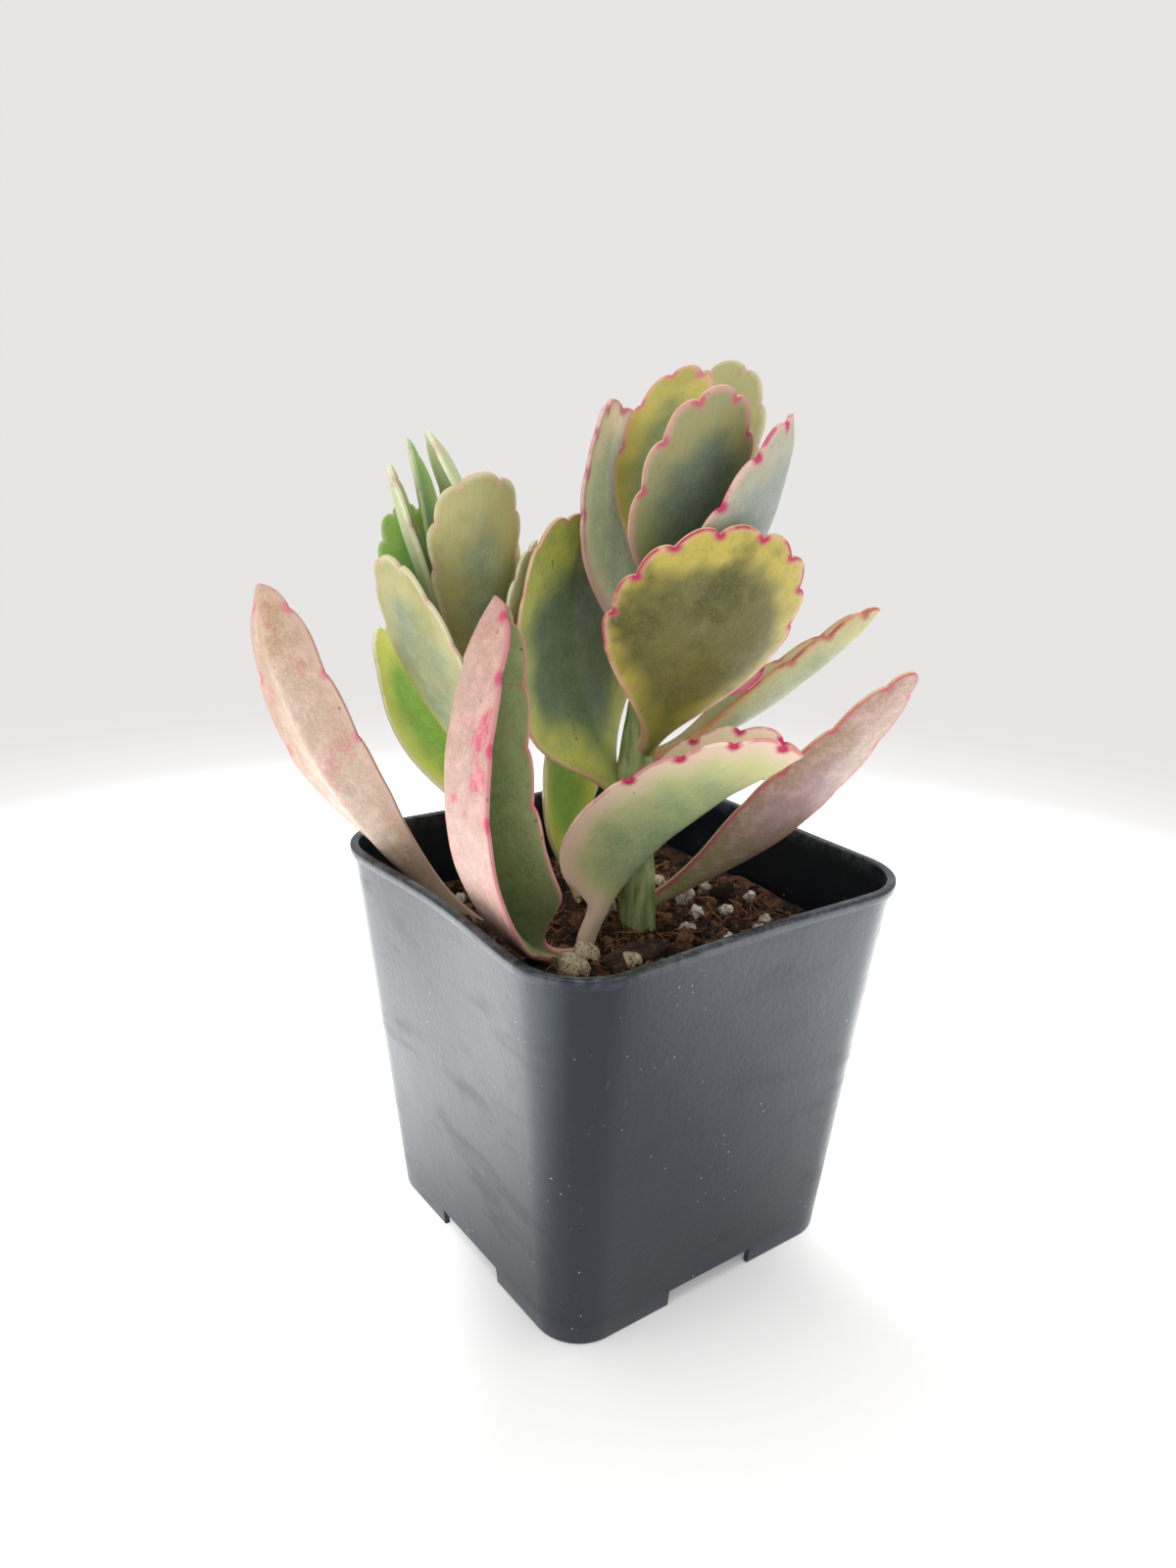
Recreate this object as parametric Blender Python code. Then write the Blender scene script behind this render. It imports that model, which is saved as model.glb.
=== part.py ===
"""A scalloped kalanchoe with its square nursery pot, as closed solids.

Metres, +Z up. The pot's sides lie along X and Y and its foot stands on z = 0. The whole plant is shifted
by ORIGIN_SHIFT, so that the origin lies under the middle of its box.
"""

import math
from dataclasses import dataclass, replace

import bmesh
import bpy
import numpy as np
from mathutils import Vector, noise

MM = 0.001
CLEARANCE = 0.3 * MM

# Where the pot's own centre lies from the origin, which is the middle of the box of pot and leaves.
ORIGIN_SHIFT = Vector((3.95, -1.07, 0.0)) * MM

# The pot: a thin shell, tapered, with rounded corners and a lip round its rim.
POT_HEIGHT = 61.1 * MM
RIM_HALF = 32.6 * MM
RIM_CORNER = 10.5 * MM
FOOT_HALF = 26.2 * MM
FOOT_CORNER = 7.0 * MM
WALL = 0.9 * MM
LIP_OUT = 0.5 * MM
LIP_TALL = 1.5 * MM
FLOOR_UNDER = 3.4 * MM
FLOOR_THICK = 1.2 * MM
# How far the pot's edges are broken, the smallest corner radius of a ring, and where the wall has rings.
POT_EDGE = 0.35 * MM
LEAST_CORNER = 1.5 * MM
WALL_LEVELS = (0.33 * POT_HEIGHT, 0.66 * POT_HEIGHT, 0.85 * POT_HEIGHT)
# How far the middle of each side bows inwards at the rim, for the sides facing +X, +Y, -X and -Y.
SIDE_BOWS = (0.0 * MM, 1.0 * MM, 1.1 * MM, 0.6 * MM)
NOTCH_WIDE = 16.0 * MM
NOTCH_TALL = 2.8 * MM
DRAIN_RADIUS = 3.5 * MM
DRAIN_REACH = 16.0 * MM
DRAIN_SIDES = 16
DRAIN_PLACES = ((0, 0), (1, 0), (0, 1), (-1, 0), (0, -1))
CORNER_STEPS = 7
SIDE_STEPS = 7

# The potting mix fills the pot to this height, with crumbs this high on top.
MIX_TOP = 49.2 * MM
MIX_CRUMB = 1.3 * MM
MIX_RINGS = 8
# The size of the coarse and the fine crumbs, and the share of the fine ones in the height.
CRUMB_COARSE = 9.0 * MM
CRUMB_FINE = 3.0 * MM
CRUMB_FINE_PART = 0.7
PEBBLE_GRAIN = 2.0 * MM
PEBBLE_LUMP = 0.16
PEBBLE_FLAT = 0.8
PEBBLE_STAND = 0.25
PEBBLES = (
    # x, y and radius in mm of the stones and perlite grains that stand out of the mix
    (-15.0, -8.5, 2.6),
    (-11.5, -13.0, 2.2),
    (-19.0, -3.0, 1.9),
    (4.0, -9.5, 2.3),
    (13.5, -3.5, 1.9),
    (17.0, -7.0, 1.6),
    (12.0, -13.0, 1.5),
    (21.0, -13.5, 1.5),
    (24.0, 2.0, 1.7),
    (8.0, 16.0, 2.0),
    (-6.0, 20.0, 1.8),
    (-23.0, 18.0, 1.9),
)

# The stems, buried to their root end: points up their axes and the radius there, in mm from the pot's
# centre.
STEMS = {
    "right_stem": (
        (3.0, -2.0, 41.0, 2.8),
        (3.0, -2.0, 52.0, 2.8),
        (2.6, -0.6, 73.0, 2.7),
        (4.4, -1.4, 88.0, 2.5),
        (6.4, -2.4, 100.0, 2.0),
        (7.6, -3.0, 106.0, 1.4),
    ),
    "left_stem": (
        (-14.0, 8.5, 41.0, 2.7),
        (-14.0, 8.5, 52.0, 2.7),
        (-16.5, 9.3, 68.0, 2.6),
        (-18.6, 10.0, 82.0, 2.4),
        (-20.8, 11.2, 95.0, 1.8),
        (-22.2, 12.0, 102.0, 1.2),
    ),
}

# The leaves' blades: where along the margin the scallops start, how far up the leaf the rows of points
# leave the midrib, where on each lobe the margin has points, and how many rows each half has.
MARGIN_START = 0.45
SPINE_PART = 0.86
PER_LOBE = (0.0, 0.3, 0.65)
BLADE_ROWS = 2
EDGE_THICK = 0.7
# The lobes: how much the crown leans to the tip, how square it is, how deep the first notch is as a part of
# the last one, and how blunt the leaf's tip is.
LOBE_LEAN = 1.5
LOBE_CROWN = 0.55
FIRST_NOTCH = 0.55
TIP_ROUND = 0.9
# The blade's thickness at the stalk and past FULL_THIN of the leaf, as parts of the leaf's own thickness.
THICK_AT_STALK = 1.25
THICK_AT_TIP = 0.65
FULL_THIN = 0.8
SHARP_ANGLE = 50.0
# A leaf whose base lies lower than this, in mm, comes straight out of the mix.
BURIED_UNDER = 56.0
# The colour of each kind of leaf, as linear red, green and blue.
LEAF_COLOURS = {
    "leaf_olive": (0.36, 0.40, 0.17),
    "leaf_grey": (0.33, 0.40, 0.32),
    "leaf_green": (0.20, 0.31, 0.11),
    "leaf_pink": (0.62, 0.40, 0.29),
}
LEAF_ROUGHNESS = 0.45


@dataclass(frozen=True)
class Leaf:
    """One leaf: where its stalk starts, how its midrib runs, and the shape of its blade.

    Sizes are in millimetres and angles in degrees. The azimuth turns from +X towards +Y, rise is the slope
    at the stalk, and bend is added to it on the way to the tip. Fold lifts each half from the midrib, left
    and right as seen along the leaf, and cup curls it further up towards its margin.
    """

    name: str
    kind: str
    base: tuple[float, float, float]
    azimuth: float
    rise: float
    bend: float
    length: float
    width: float
    roll: float = 0.0
    twist: float = 0.0
    sweep: float = 0.0
    fold: tuple[float, float] = (6.0, 6.0)
    cup: tuple[float, float] = (25.0, 25.0)
    widest: float = 0.62
    bend_power: float = 1.0
    wedge: float = 1.7
    stalk: float = 1.5
    stalk_part: float = 0.10
    notches: int = 4
    notch_depth: float = 0.9
    thickness: float = 2.0


LEAVES = (
    Leaf(
        "right_bud_right_leaf",
        kind="leaf_green",
        base=(7.0, -2.7, 103.1),
        azimuth=-41, rise=66, bend=-2, roll=-1, twist=0,
        length=15, width=7, fold=(12, 13), cup=(29, 29), widest=0.62,
        stalk=1, notches=2, notch_depth=0.3, thickness=1.4,
    ),
    Leaf(
        "right_bud_left_leaf",
        kind="leaf_green",
        base=(6.8, -2.6, 102.2),
        azimuth=142, rise=78, bend=6, roll=-1, twist=0,
        length=15, width=7, fold=(11, 15), cup=(29, 30), widest=0.62,
        stalk=1, notches=2, notch_depth=0.3, thickness=1.4,
    ),
    Leaf(
        "right_head_back_leaf",
        kind="leaf_olive",
        base=(6.2, -2.3, 98.7),
        azimuth=28, rise=51, bend=15, roll=-1, twist=0,
        length=40.4, width=16.4, fold=(1, 1), cup=(11, 13), widest=0.66,
        notches=3, notch_depth=1,
    ),
    Leaf(
        "right_head_left_leaf",
        kind="leaf_olive",
        base=(6.0, -2.2, 97.4),
        azimuth=-164, rise=61, bend=71, roll=6, twist=-18,
        length=36.8, width=15.2, fold=(2, -12), cup=(25, 11), widest=0.61,
        notches=3, notch_depth=1.1,
    ),
    Leaf(
        "right_head_front_leaf",
        kind="leaf_olive",
        base=(5.4, -1.9, 94.2),
        azimuth=-110, rise=57, bend=11, roll=15, twist=-9,
        length=39.4, width=18.6, fold=(12, -4), cup=(9, 18), widest=0.54,
        stalk=1.4, notches=3, notch_depth=1.2, thickness=1.8,
    ),
    Leaf(
        "right_head_right_leaf",
        kind="leaf_grey",
        base=(5.5, -1.9, 94.5),
        azimuth=-65, rise=30, bend=62, roll=16, twist=4,
        length=37.6, width=30.6, fold=(-4, 4), cup=(35, 51), widest=0.54,
        stalk=1.3, notches=3, notch_depth=1.2, thickness=1.8,
    ),
    Leaf(
        "right_outer_left_leaf",
        kind="leaf_grey",
        base=(4.4, -1.4, 87.6),
        azimuth=120, rise=61, bend=37, roll=-33, twist=35,
        length=41, width=19.8, fold=(2, 13), cup=(22, 43), widest=0.65,
        notch_depth=1.1,
    ),
    Leaf(
        "right_broad_back_leaf",
        kind="leaf_olive",
        base=(3.9, -1.2, 83.7),
        azimuth=-16, rise=33, bend=31, roll=28, twist=6,
        length=23.6, width=19, fold=(-2, -1), cup=(-3, -6), widest=0.55,
    ),
    Leaf(
        "right_broad_front_leaf",
        kind="leaf_olive",
        base=(2.9, -0.8, 75.9),
        azimuth=-93, rise=52, bend=16, roll=-16, twist=0,
        length=42.4, width=29, fold=(-4, -8), cup=(28, 27), widest=0.63,
        notch_depth=1.4,
    ),
    Leaf(
        "right_folded_leaf",
        kind="leaf_pink",
        base=(2.9, -0.7, 75.4),
        azimuth=-25, rise=15, bend=34, roll=-4, twist=-21,
        length=43.6, width=13.4, fold=(45, 30), cup=(-1, 21), widest=0.51,
        notches=3, notch_depth=1,
    ),
    Leaf(
        "right_broad_left_leaf",
        kind="leaf_green",
        base=(2.7, -1.0, 67.3),
        azimuth=143, rise=51, bend=56, roll=-48, twist=13,
        length=47.2, width=31.8, fold=(-8, -16), cup=(47, 35), widest=0.54,
        stalk=1.3, notch_depth=1.1,
    ),
    Leaf(
        "right_hidden_back_leaf",
        kind="leaf_olive",
        base=(4.1, -1.3, 85.5),
        azimuth=37, rise=56, bend=5, roll=6, twist=0,
        length=33, width=20, fold=(14, 9), cup=(45, 25), widest=0.62,
        notches=3,
    ),
    Leaf(
        "left_bud_front_leaf",
        kind="leaf_green",
        base=(-21.6, 11.7, 99.1),
        azimuth=-127, rise=65, bend=-2, roll=0, twist=0,
        length=12, width=4.6, fold=(10, 7), cup=(30, 28), widest=0.62,
        stalk=0.9, notches=2, notch_depth=0.2, thickness=1.3,
    ),
    Leaf(
        "left_bud_back_leaf",
        kind="leaf_green",
        base=(-20.9, 11.2, 95.3),
        azimuth=24, rise=83, bend=3, roll=18, twist=-7,
        length=11, width=4.6, fold=(16, 19), cup=(53, 35), widest=0.62,
        stalk=0.9, notches=2, notch_depth=0.2, thickness=1.3,
    ),
    Leaf(
        "left_young_right_leaf",
        kind="leaf_grey",
        base=(-20.4, 11.0, 92.9),
        azimuth=-9, rise=65, bend=67, roll=4, twist=-14,
        length=31.8, width=12.6, fold=(5, 6), cup=(22, 26), widest=0.65,
        stalk=1, notches=2, notch_depth=0.5, thickness=1.5,
    ),
    Leaf(
        "left_young_back_leaf",
        kind="leaf_green",
        base=(-20.8, 11.2, 94.8),
        azimuth=102, rise=68, bend=3, roll=16, twist=27,
        length=28.2, width=9, fold=(6, 6), cup=(18, 18), widest=0.62,
        stalk=1, notches=2, notch_depth=0.5, thickness=1.5,
    ),
    Leaf(
        "left_young_front_leaf",
        kind="leaf_grey",
        base=(-20.2, 10.9, 91.5),
        azimuth=144, rise=60, bend=20, roll=6, twist=-3,
        length=28.4, width=7.4, fold=(8, 8), cup=(30, 30), widest=0.6,
        stalk=1, notches=2, notch_depth=0.4, thickness=1.4,
    ),
    Leaf(
        "left_outer_back_leaf",
        kind="leaf_green",
        base=(-20.0, 10.8, 90.2),
        azimuth=106, rise=50, bend=24, roll=-14, twist=-20,
        length=25.4, width=11.2, fold=(-22, -6), cup=(11, 18), widest=0.61,
        notches=3,
    ),
    Leaf(
        "left_right_leaf",
        kind="leaf_pink",
        base=(-18.2, 9.9, 79.3),
        azimuth=-29, rise=56, bend=38, roll=-11, twist=-10,
        length=30.6, width=17.6, fold=(8, -2), cup=(42, 28), widest=0.59,
        notches=3,
    ),
    Leaf(
        "left_broad_front_leaf",
        kind="leaf_grey",
        base=(-18.2, 9.9, 79.5),
        azimuth=-119, rise=86, bend=-24, roll=24, twist=-3,
        length=40.2, width=14, fold=(4, 6), cup=(24, 27), widest=0.75,
        stalk=1.3, notches=3, notch_depth=1,
    ),
    Leaf(
        "left_broad_left_leaf",
        kind="leaf_grey",
        base=(-17.2, 9.5, 72.4),
        azimuth=172, rise=63, bend=9, roll=8, twist=-10,
        length=37.2, width=23.2, fold=(6, -3), cup=(-1, 2), widest=0.63,
        notches=3, notch_depth=1,
    ),
    Leaf(
        "left_lower_back_leaf",
        kind="leaf_green",
        base=(-16.0, 9.1, 64.8),
        azimuth=99, rise=29, bend=39, roll=-15, twist=30,
        length=38.2, width=24.2, fold=(5, -2), cup=(45, 33), widest=0.74,
    ),
    Leaf(
        "left_hidden_back_leaf",
        kind="leaf_grey",
        base=(-19.1, 10.3, 85.0),
        azimuth=46, rise=59, bend=16, roll=-9, twist=-3,
        length=28.2, width=16.6, fold=(6, 12), cup=(25, 34), widest=0.62,
        notches=3,
    ),
    Leaf(
        "low_folded_front_leaf",
        kind="leaf_olive",
        base=(-6.5, -1.9, 47.6),
        azimuth=-64, rise=88, bend=-57, roll=-3, twist=21,
        length=46.8, width=24.4, fold=(50, 77), cup=(-13, -7), widest=0.45,
        sweep=17, bend_power=0.45, wedge=0.3, stalk=1.9, stalk_part=0.17, notch_depth=1.1,
    ),
    Leaf(
        "low_right_leaf",
        kind="leaf_pink",
        base=(3.6, 0.5, 50.4),
        azimuth=-58, rise=36, bend=23, roll=-47, twist=22,
        length=58.4, width=13.4, fold=(-1, 8), cup=(4, 10), widest=0.59,
        notches=3,
    ),
    Leaf(
        "low_back_leaf",
        kind="leaf_green",
        base=(0.2, 8.6, 50.3),
        azimuth=131, rise=65, bend=40, roll=-17, twist=1,
        length=34.8, width=18.8, fold=(4, 4), cup=(35, 35), widest=0.62,
    ),
    Leaf(
        "low_pink_front_leaf",
        kind="leaf_pink",
        base=(-9.0, -4.3, 48.5),
        azimuth=174, rise=-14, bend=137, roll=-35, twist=1,
        length=66.8, width=27.6, fold=(44, 93), cup=(-23, 26), widest=0.34,
        sweep=5, bend_power=0.55, stalk=1.9,
    ),
    Leaf(
        "low_far_left_leaf",
        kind="leaf_pink",
        base=(-13.2, 12.9, 45.1),
        azimuth=159, rise=40, bend=49, roll=16, twist=10,
        length=68, width=16.6, fold=(50, 21), cup=(-14, -55), widest=0.61,
        sweep=-1, bend_power=1.45, notches=3, notch_depth=0.7,
    ),
)


def new_collection(name, hidden=False):
    """A collection linked to the scene."""
    made = bpy.data.collections.new(name)
    made.hide_render = hidden
    bpy.context.scene.collection.children.link(made)
    return made


def plain_material(name, colour, roughness, metallic=0.0):
    """A Principled material with one colour."""
    made = bpy.data.materials.new(name)
    made.use_nodes = True
    shader = made.node_tree.nodes["Principled BSDF"]
    shader.inputs["Base Color"].default_value = (*colour, 1.0)
    shader.inputs["Roughness"].default_value = roughness
    shader.inputs["Metallic"].default_value = metallic
    return made


def object_from_bmesh(name, shape, collection, material=None):
    """An object of this bmesh, its faces turned outwards, in this collection."""
    bmesh.ops.recalc_face_normals(shape, faces=shape.faces)
    mesh = bpy.data.meshes.new(name)
    shape.to_mesh(mesh)
    shape.free()
    made = bpy.data.objects.new(name, mesh)
    collection.objects.link(made)
    if material:
        mesh.materials.append(material)
    return made


def make_cutter(cutter):
    """Keeps a helper out of renders, drawn as wires."""
    cutter.hide_render = True
    cutter.display_type = "WIRE"
    return cutter


def boolean(target, other, operation, solver="EXACT"):
    """Adds a Boolean of the other object to the target."""
    modifier = target.modifiers.new(f"{operation.lower()}_{other.name}", "BOOLEAN")
    modifier.operation = operation
    modifier.object = other
    modifier.solver = solver
    return modifier


def apply_modifiers(target):
    """Bakes the target's modifiers into its mesh, so that later cuts read a plain mesh."""
    graph = bpy.context.evaluated_depsgraph_get()
    baked = bpy.data.meshes.new_from_object(target.evaluated_get(graph))
    target.modifiers.clear()
    target.data = baked


# The pot


def pot_ring(half, corner, bow_part, height):
    """Points round the pot at one height: a square with round corners and sides bowed inwards."""
    points = []
    straight = half - corner
    for side, bow in enumerate(SIDE_BOWS):
        angle = side * math.pi / 2
        normal = Vector((math.cos(angle), math.sin(angle), 0.0))
        along = Vector((-normal.y, normal.x, 0.0))
        for step in range(SIDE_STEPS):
            part = -1.0 + 2.0 * step / (SIDE_STEPS - 1)
            depth = bow * bow_part * (1.0 - part**2) ** 2
            points.append(normal * (half - depth) + along * (straight * part))
        for step in range(1, CORNER_STEPS):
            turn = math.pi / 2 * step / CORNER_STEPS
            out = straight + corner * math.cos(turn)
            aside = straight + corner * math.sin(turn)
            points.append(normal * out + along * aside)
    return [Vector((p.x, p.y, height)) + ORIGIN_SHIFT for p in points]


def wall_ring(height, inset=0.0):
    """The ring of the wall at this height, moved inwards by inset."""
    part = height / POT_HEIGHT
    half = FOOT_HALF + (RIM_HALF - LIP_OUT - FOOT_HALF) * part - inset
    corner = FOOT_CORNER + (RIM_CORNER - LIP_OUT - FOOT_CORNER) * part - inset
    return pot_ring(half, max(corner, LEAST_CORNER), part**2, height)


def lip_ring(height, inset=0.0):
    """The ring of the lip, which stands out past the wall."""
    return pot_ring(RIM_HALF - inset, RIM_CORNER - inset, 1.0, height)


def loft(rings):
    """A closed shape through rings of equal point counts, with flat caps on the first and the last."""
    shape = bmesh.new()
    rows = [[shape.verts.new(point) for point in ring] for ring in rings]
    count = len(rows[0])
    for lower, upper in zip(rows, rows[1:]):
        for i in range(count):
            j = (i + 1) % count
            shape.faces.new((lower[i], lower[j], upper[j], upper[i]))
    shape.faces.new(list(reversed(rows[0])))
    shape.faces.new(rows[-1])
    return shape


def make_pot(parts, cutters, material):
    """The shell, with a recess under its floor, a notch in the foot of each side and drain holes."""
    lip_low = POT_HEIGHT - LIP_TALL
    rings = [
        wall_ring(FLOOR_UNDER, inset=WALL),
        wall_ring(0.0, inset=WALL),
        wall_ring(0.0, inset=POT_EDGE),
        wall_ring(POT_EDGE),
        *[wall_ring(level) for level in WALL_LEVELS],
        wall_ring(lip_low),
        lip_ring(lip_low, inset=POT_EDGE),
        lip_ring(lip_low + POT_EDGE),
        lip_ring(POT_HEIGHT - POT_EDGE),
        lip_ring(POT_HEIGHT, inset=POT_EDGE),
        lip_ring(POT_HEIGHT, inset=LIP_OUT + WALL - POT_EDGE),
        wall_ring(POT_HEIGHT - POT_EDGE, inset=WALL),
        *[wall_ring(level, inset=WALL) for level in reversed(WALL_LEVELS)],
        wall_ring(FLOOR_UNDER + FLOOR_THICK, inset=WALL),
    ]
    pot = object_from_bmesh("pot", loft(rings), parts, material)
    for name, size in (
        ("notch_x", (3 * FOOT_HALF, NOTCH_WIDE, 2 * NOTCH_TALL)),
        ("notch_y", (NOTCH_WIDE, 3 * FOOT_HALF, 2 * NOTCH_TALL)),
    ):
        shape = bmesh.new()
        bmesh.ops.create_cube(shape, size=1.0)
        bmesh.ops.scale(shape, vec=size, verts=shape.verts)
        bmesh.ops.translate(shape, vec=ORIGIN_SHIFT, verts=shape.verts)
        notch = object_from_bmesh(name, shape, cutters)
        boolean(pot, make_cutter(notch), "DIFFERENCE", "MANIFOLD")
    for index, (x, y) in enumerate(DRAIN_PLACES):
        shape = bmesh.new()
        bmesh.ops.create_cone(
            shape,
            cap_ends=True,
            segments=DRAIN_SIDES,
            radius1=DRAIN_RADIUS,
            radius2=DRAIN_RADIUS,
            depth=6 * FLOOR_THICK,
        )
        place = Vector((x * DRAIN_REACH, y * DRAIN_REACH, FLOOR_UNDER)) + ORIGIN_SHIFT
        bmesh.ops.translate(shape, vec=place, verts=shape.verts)
        drain = object_from_bmesh(f"drain_{index}", shape, cutters)
        boolean(pot, make_cutter(drain), "DIFFERENCE", "MANIFOLD")
    apply_modifiers(pot)


# The potting mix


def crumb_height(x, y):
    """How far the top of the mix stands over MIX_TOP at this place."""
    coarse = noise.noise(Vector((x, y, 0.0)) / CRUMB_COARSE)
    fine = noise.noise(Vector((x, y, 0.013)) / CRUMB_FINE)
    return MIX_CRUMB * (coarse + CRUMB_FINE_PART * fine)


def make_mix(parts, cutters, holes, material):
    """The mix as one body: a plug that fits the pot, crumbly on top, with its pebbles and its holes."""
    gap = WALL + CLEARANCE
    bottom = FLOOR_UNDER + FLOOR_THICK + CLEARANCE
    levels = (bottom, *[level for level in WALL_LEVELS if level < MIX_TOP], MIX_TOP)
    rings = [wall_ring(level, inset=gap) for level in levels]
    rim = rings[-1]
    middle = sum(rim, Vector()) / len(rim)
    for ring in range(1, MIX_RINGS):
        part = 1.0 - ring / MIX_RINGS
        points = [middle + (point - middle) * part for point in rim]
        rings.append([point + Vector((0.0, 0.0, crumb_height(point.x, point.y))) for point in points])
    mix = object_from_bmesh("potting_mix", loft(rings), parts, material)
    boolean(mix, make_cutter(object_from_bmesh("pebbles", pebble_shape(), cutters)), "UNION")
    for hole in holes:
        boolean(mix, hole, "DIFFERENCE", "MANIFOLD")
    apply_modifiers(mix)


def pebble_shape():
    """All the pebbles, each a lumpy ball pressed a little flat."""
    shape = bmesh.new()
    for index, (x, y, radius) in enumerate(PEBBLES):
        made = bmesh.ops.create_icosphere(shape, subdivisions=1, radius=radius * MM)
        for vertex in made["verts"]:
            lump = noise.noise_vector(vertex.co / PEBBLE_GRAIN + Vector((0.0, 0.0, float(index))))
            vertex.co += lump * PEBBLE_LUMP * radius * MM
            vertex.co.z *= PEBBLE_FLAT
            vertex.co += Vector((x * MM, y * MM, MIX_TOP + PEBBLE_STAND * radius * MM)) + ORIGIN_SHIFT
    return shape


# The stems


def make_stem(name, points, grow, collection, material=None):
    """A fleshy stem: a smooth curve through the points, made a mesh with closed ends. Grow is in metres."""
    curve = bpy.data.curves.new(name, "CURVE")
    curve.dimensions = "3D"
    curve.bevel_depth = MM
    curve.bevel_resolution = 2
    curve.use_fill_caps = True
    curve.resolution_u = 3
    spline = curve.splines.new("BEZIER")
    spline.bezier_points.add(len(points) - 1)
    for (x, y, z, radius), knot in zip(points, spline.bezier_points):
        end = (z == points[-1][2]) - (z == points[0][2])
        knot.co = Vector((x, y, z)) * MM + Vector((0.0, 0.0, end * grow)) + ORIGIN_SHIFT
        knot.radius = radius + grow / MM
        knot.handle_left_type = knot.handle_right_type = "AUTO"
    guide = bpy.data.objects.new(name + "_curve", curve)
    collection.objects.link(guide)
    graph = bpy.context.evaluated_depsgraph_get()
    shape = bmesh.new()
    shape.from_mesh(bpy.data.meshes.new_from_object(guide.evaluated_get(graph)))
    bmesh.ops.remove_doubles(shape, verts=shape.verts, dist=0.0005 * MM)
    bpy.data.objects.remove(guide)
    return object_from_bmesh(name, shape, collection, material)


# Leaves


def lobe_points(notches, start, per_lobe):
    """Parts of the margin's length at which a leaf has points: bare ones first, then some on each lobe."""
    bare = [start * step / 4 for step in range(4)]
    lobe = (1.0 - start) / (notches + 0.5)
    scalloped = []
    for index in range(notches):
        scalloped += [start + lobe * (index + part) for part in per_lobe]
    last = [start + lobe * (notches + part) for part in per_lobe if part < 0.5]
    return np.array(bare + scalloped + last + [1.0])


def margin(leaf, at):
    """The flat outline of one half of the blade: the way along the leaf and out from the midrib, in mm."""
    widest = leaf.widest * leaf.length
    stalk_end = leaf.stalk_part * leaf.length
    lower = np.linspace(0.0, widest, 120)
    opening = np.clip((lower - stalk_end) / (widest - stalk_end), 0.0, 1.0)
    lower_out = leaf.stalk + (leaf.width / 2 - leaf.stalk) * np.sin(math.pi / 2 * opening) ** leaf.wedge
    turn = np.linspace(0.0, math.pi / 2, 100)[1:]
    along = np.concatenate([lower, widest + (leaf.length - widest) * np.sin(turn)])
    out = np.concatenate([lower_out, leaf.width / 2 * np.cos(turn) ** TIP_ROUND])
    length = np.concatenate([[0.0], np.cumsum(np.hypot(np.diff(along), np.diff(out)))])
    start = MARGIN_START * length[-1]
    lobe = (length[-1] - start) / (leaf.notches + 0.5)
    place = (length - start) / lobe
    inside = np.where(place >= leaf.notches, place - leaf.notches, place - np.floor(place))
    skewed = np.where(place >= leaf.notches, inside, inside**LOBE_LEAN)
    crown = np.abs(np.sin(math.pi * np.clip(skewed, 0.0, 1.0))) ** LOBE_CROWN
    growing = FIRST_NOTCH + (1.0 - FIRST_NOTCH) * np.clip(place / leaf.notches, 0.0, 1.0)
    depth = np.where(place < 0.0, 0.0, leaf.notch_depth * growing * (1.0 - crown))
    depth *= np.clip(place / 0.5, 0.0, 1.0)
    slope_along = np.gradient(along, length)
    slope_out = np.gradient(out, length)
    along = along + slope_out * depth
    out = np.maximum(out - slope_along * depth, 0.0)
    out[-1] = 0.0
    wanted = at * length[-1]
    return np.interp(wanted, length, along), np.interp(wanted, length, out)


def midrib(leaf):
    """The midrib's points, and at each the directions along it, up from the blade and to its left."""
    steps = np.linspace(0.0, 1.02, 80)
    azimuth = np.radians(leaf.azimuth + leaf.sweep * steps)
    slope = np.radians(leaf.rise + leaf.bend * steps**leaf.bend_power)
    along = np.stack([np.cos(slope) * np.cos(azimuth), np.cos(slope) * np.sin(azimuth), np.sin(slope)], 1)
    up = np.stack([-np.sin(slope) * np.cos(azimuth), -np.sin(slope) * np.sin(azimuth), np.cos(slope)], 1)
    left = np.cross(up, along)
    roll = np.radians(leaf.roll + leaf.twist * steps)[:, None]
    up, left = up * np.cos(roll) - left * np.sin(roll), left * np.cos(roll) + up * np.sin(roll)
    path = np.cumsum((along[1:] + along[:-1]) / 2 * (steps[1] - steps[0]) * leaf.length, axis=0)
    path = np.vstack([np.zeros(3), path]) + np.array(leaf.base)
    return steps, path, up, left


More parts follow.
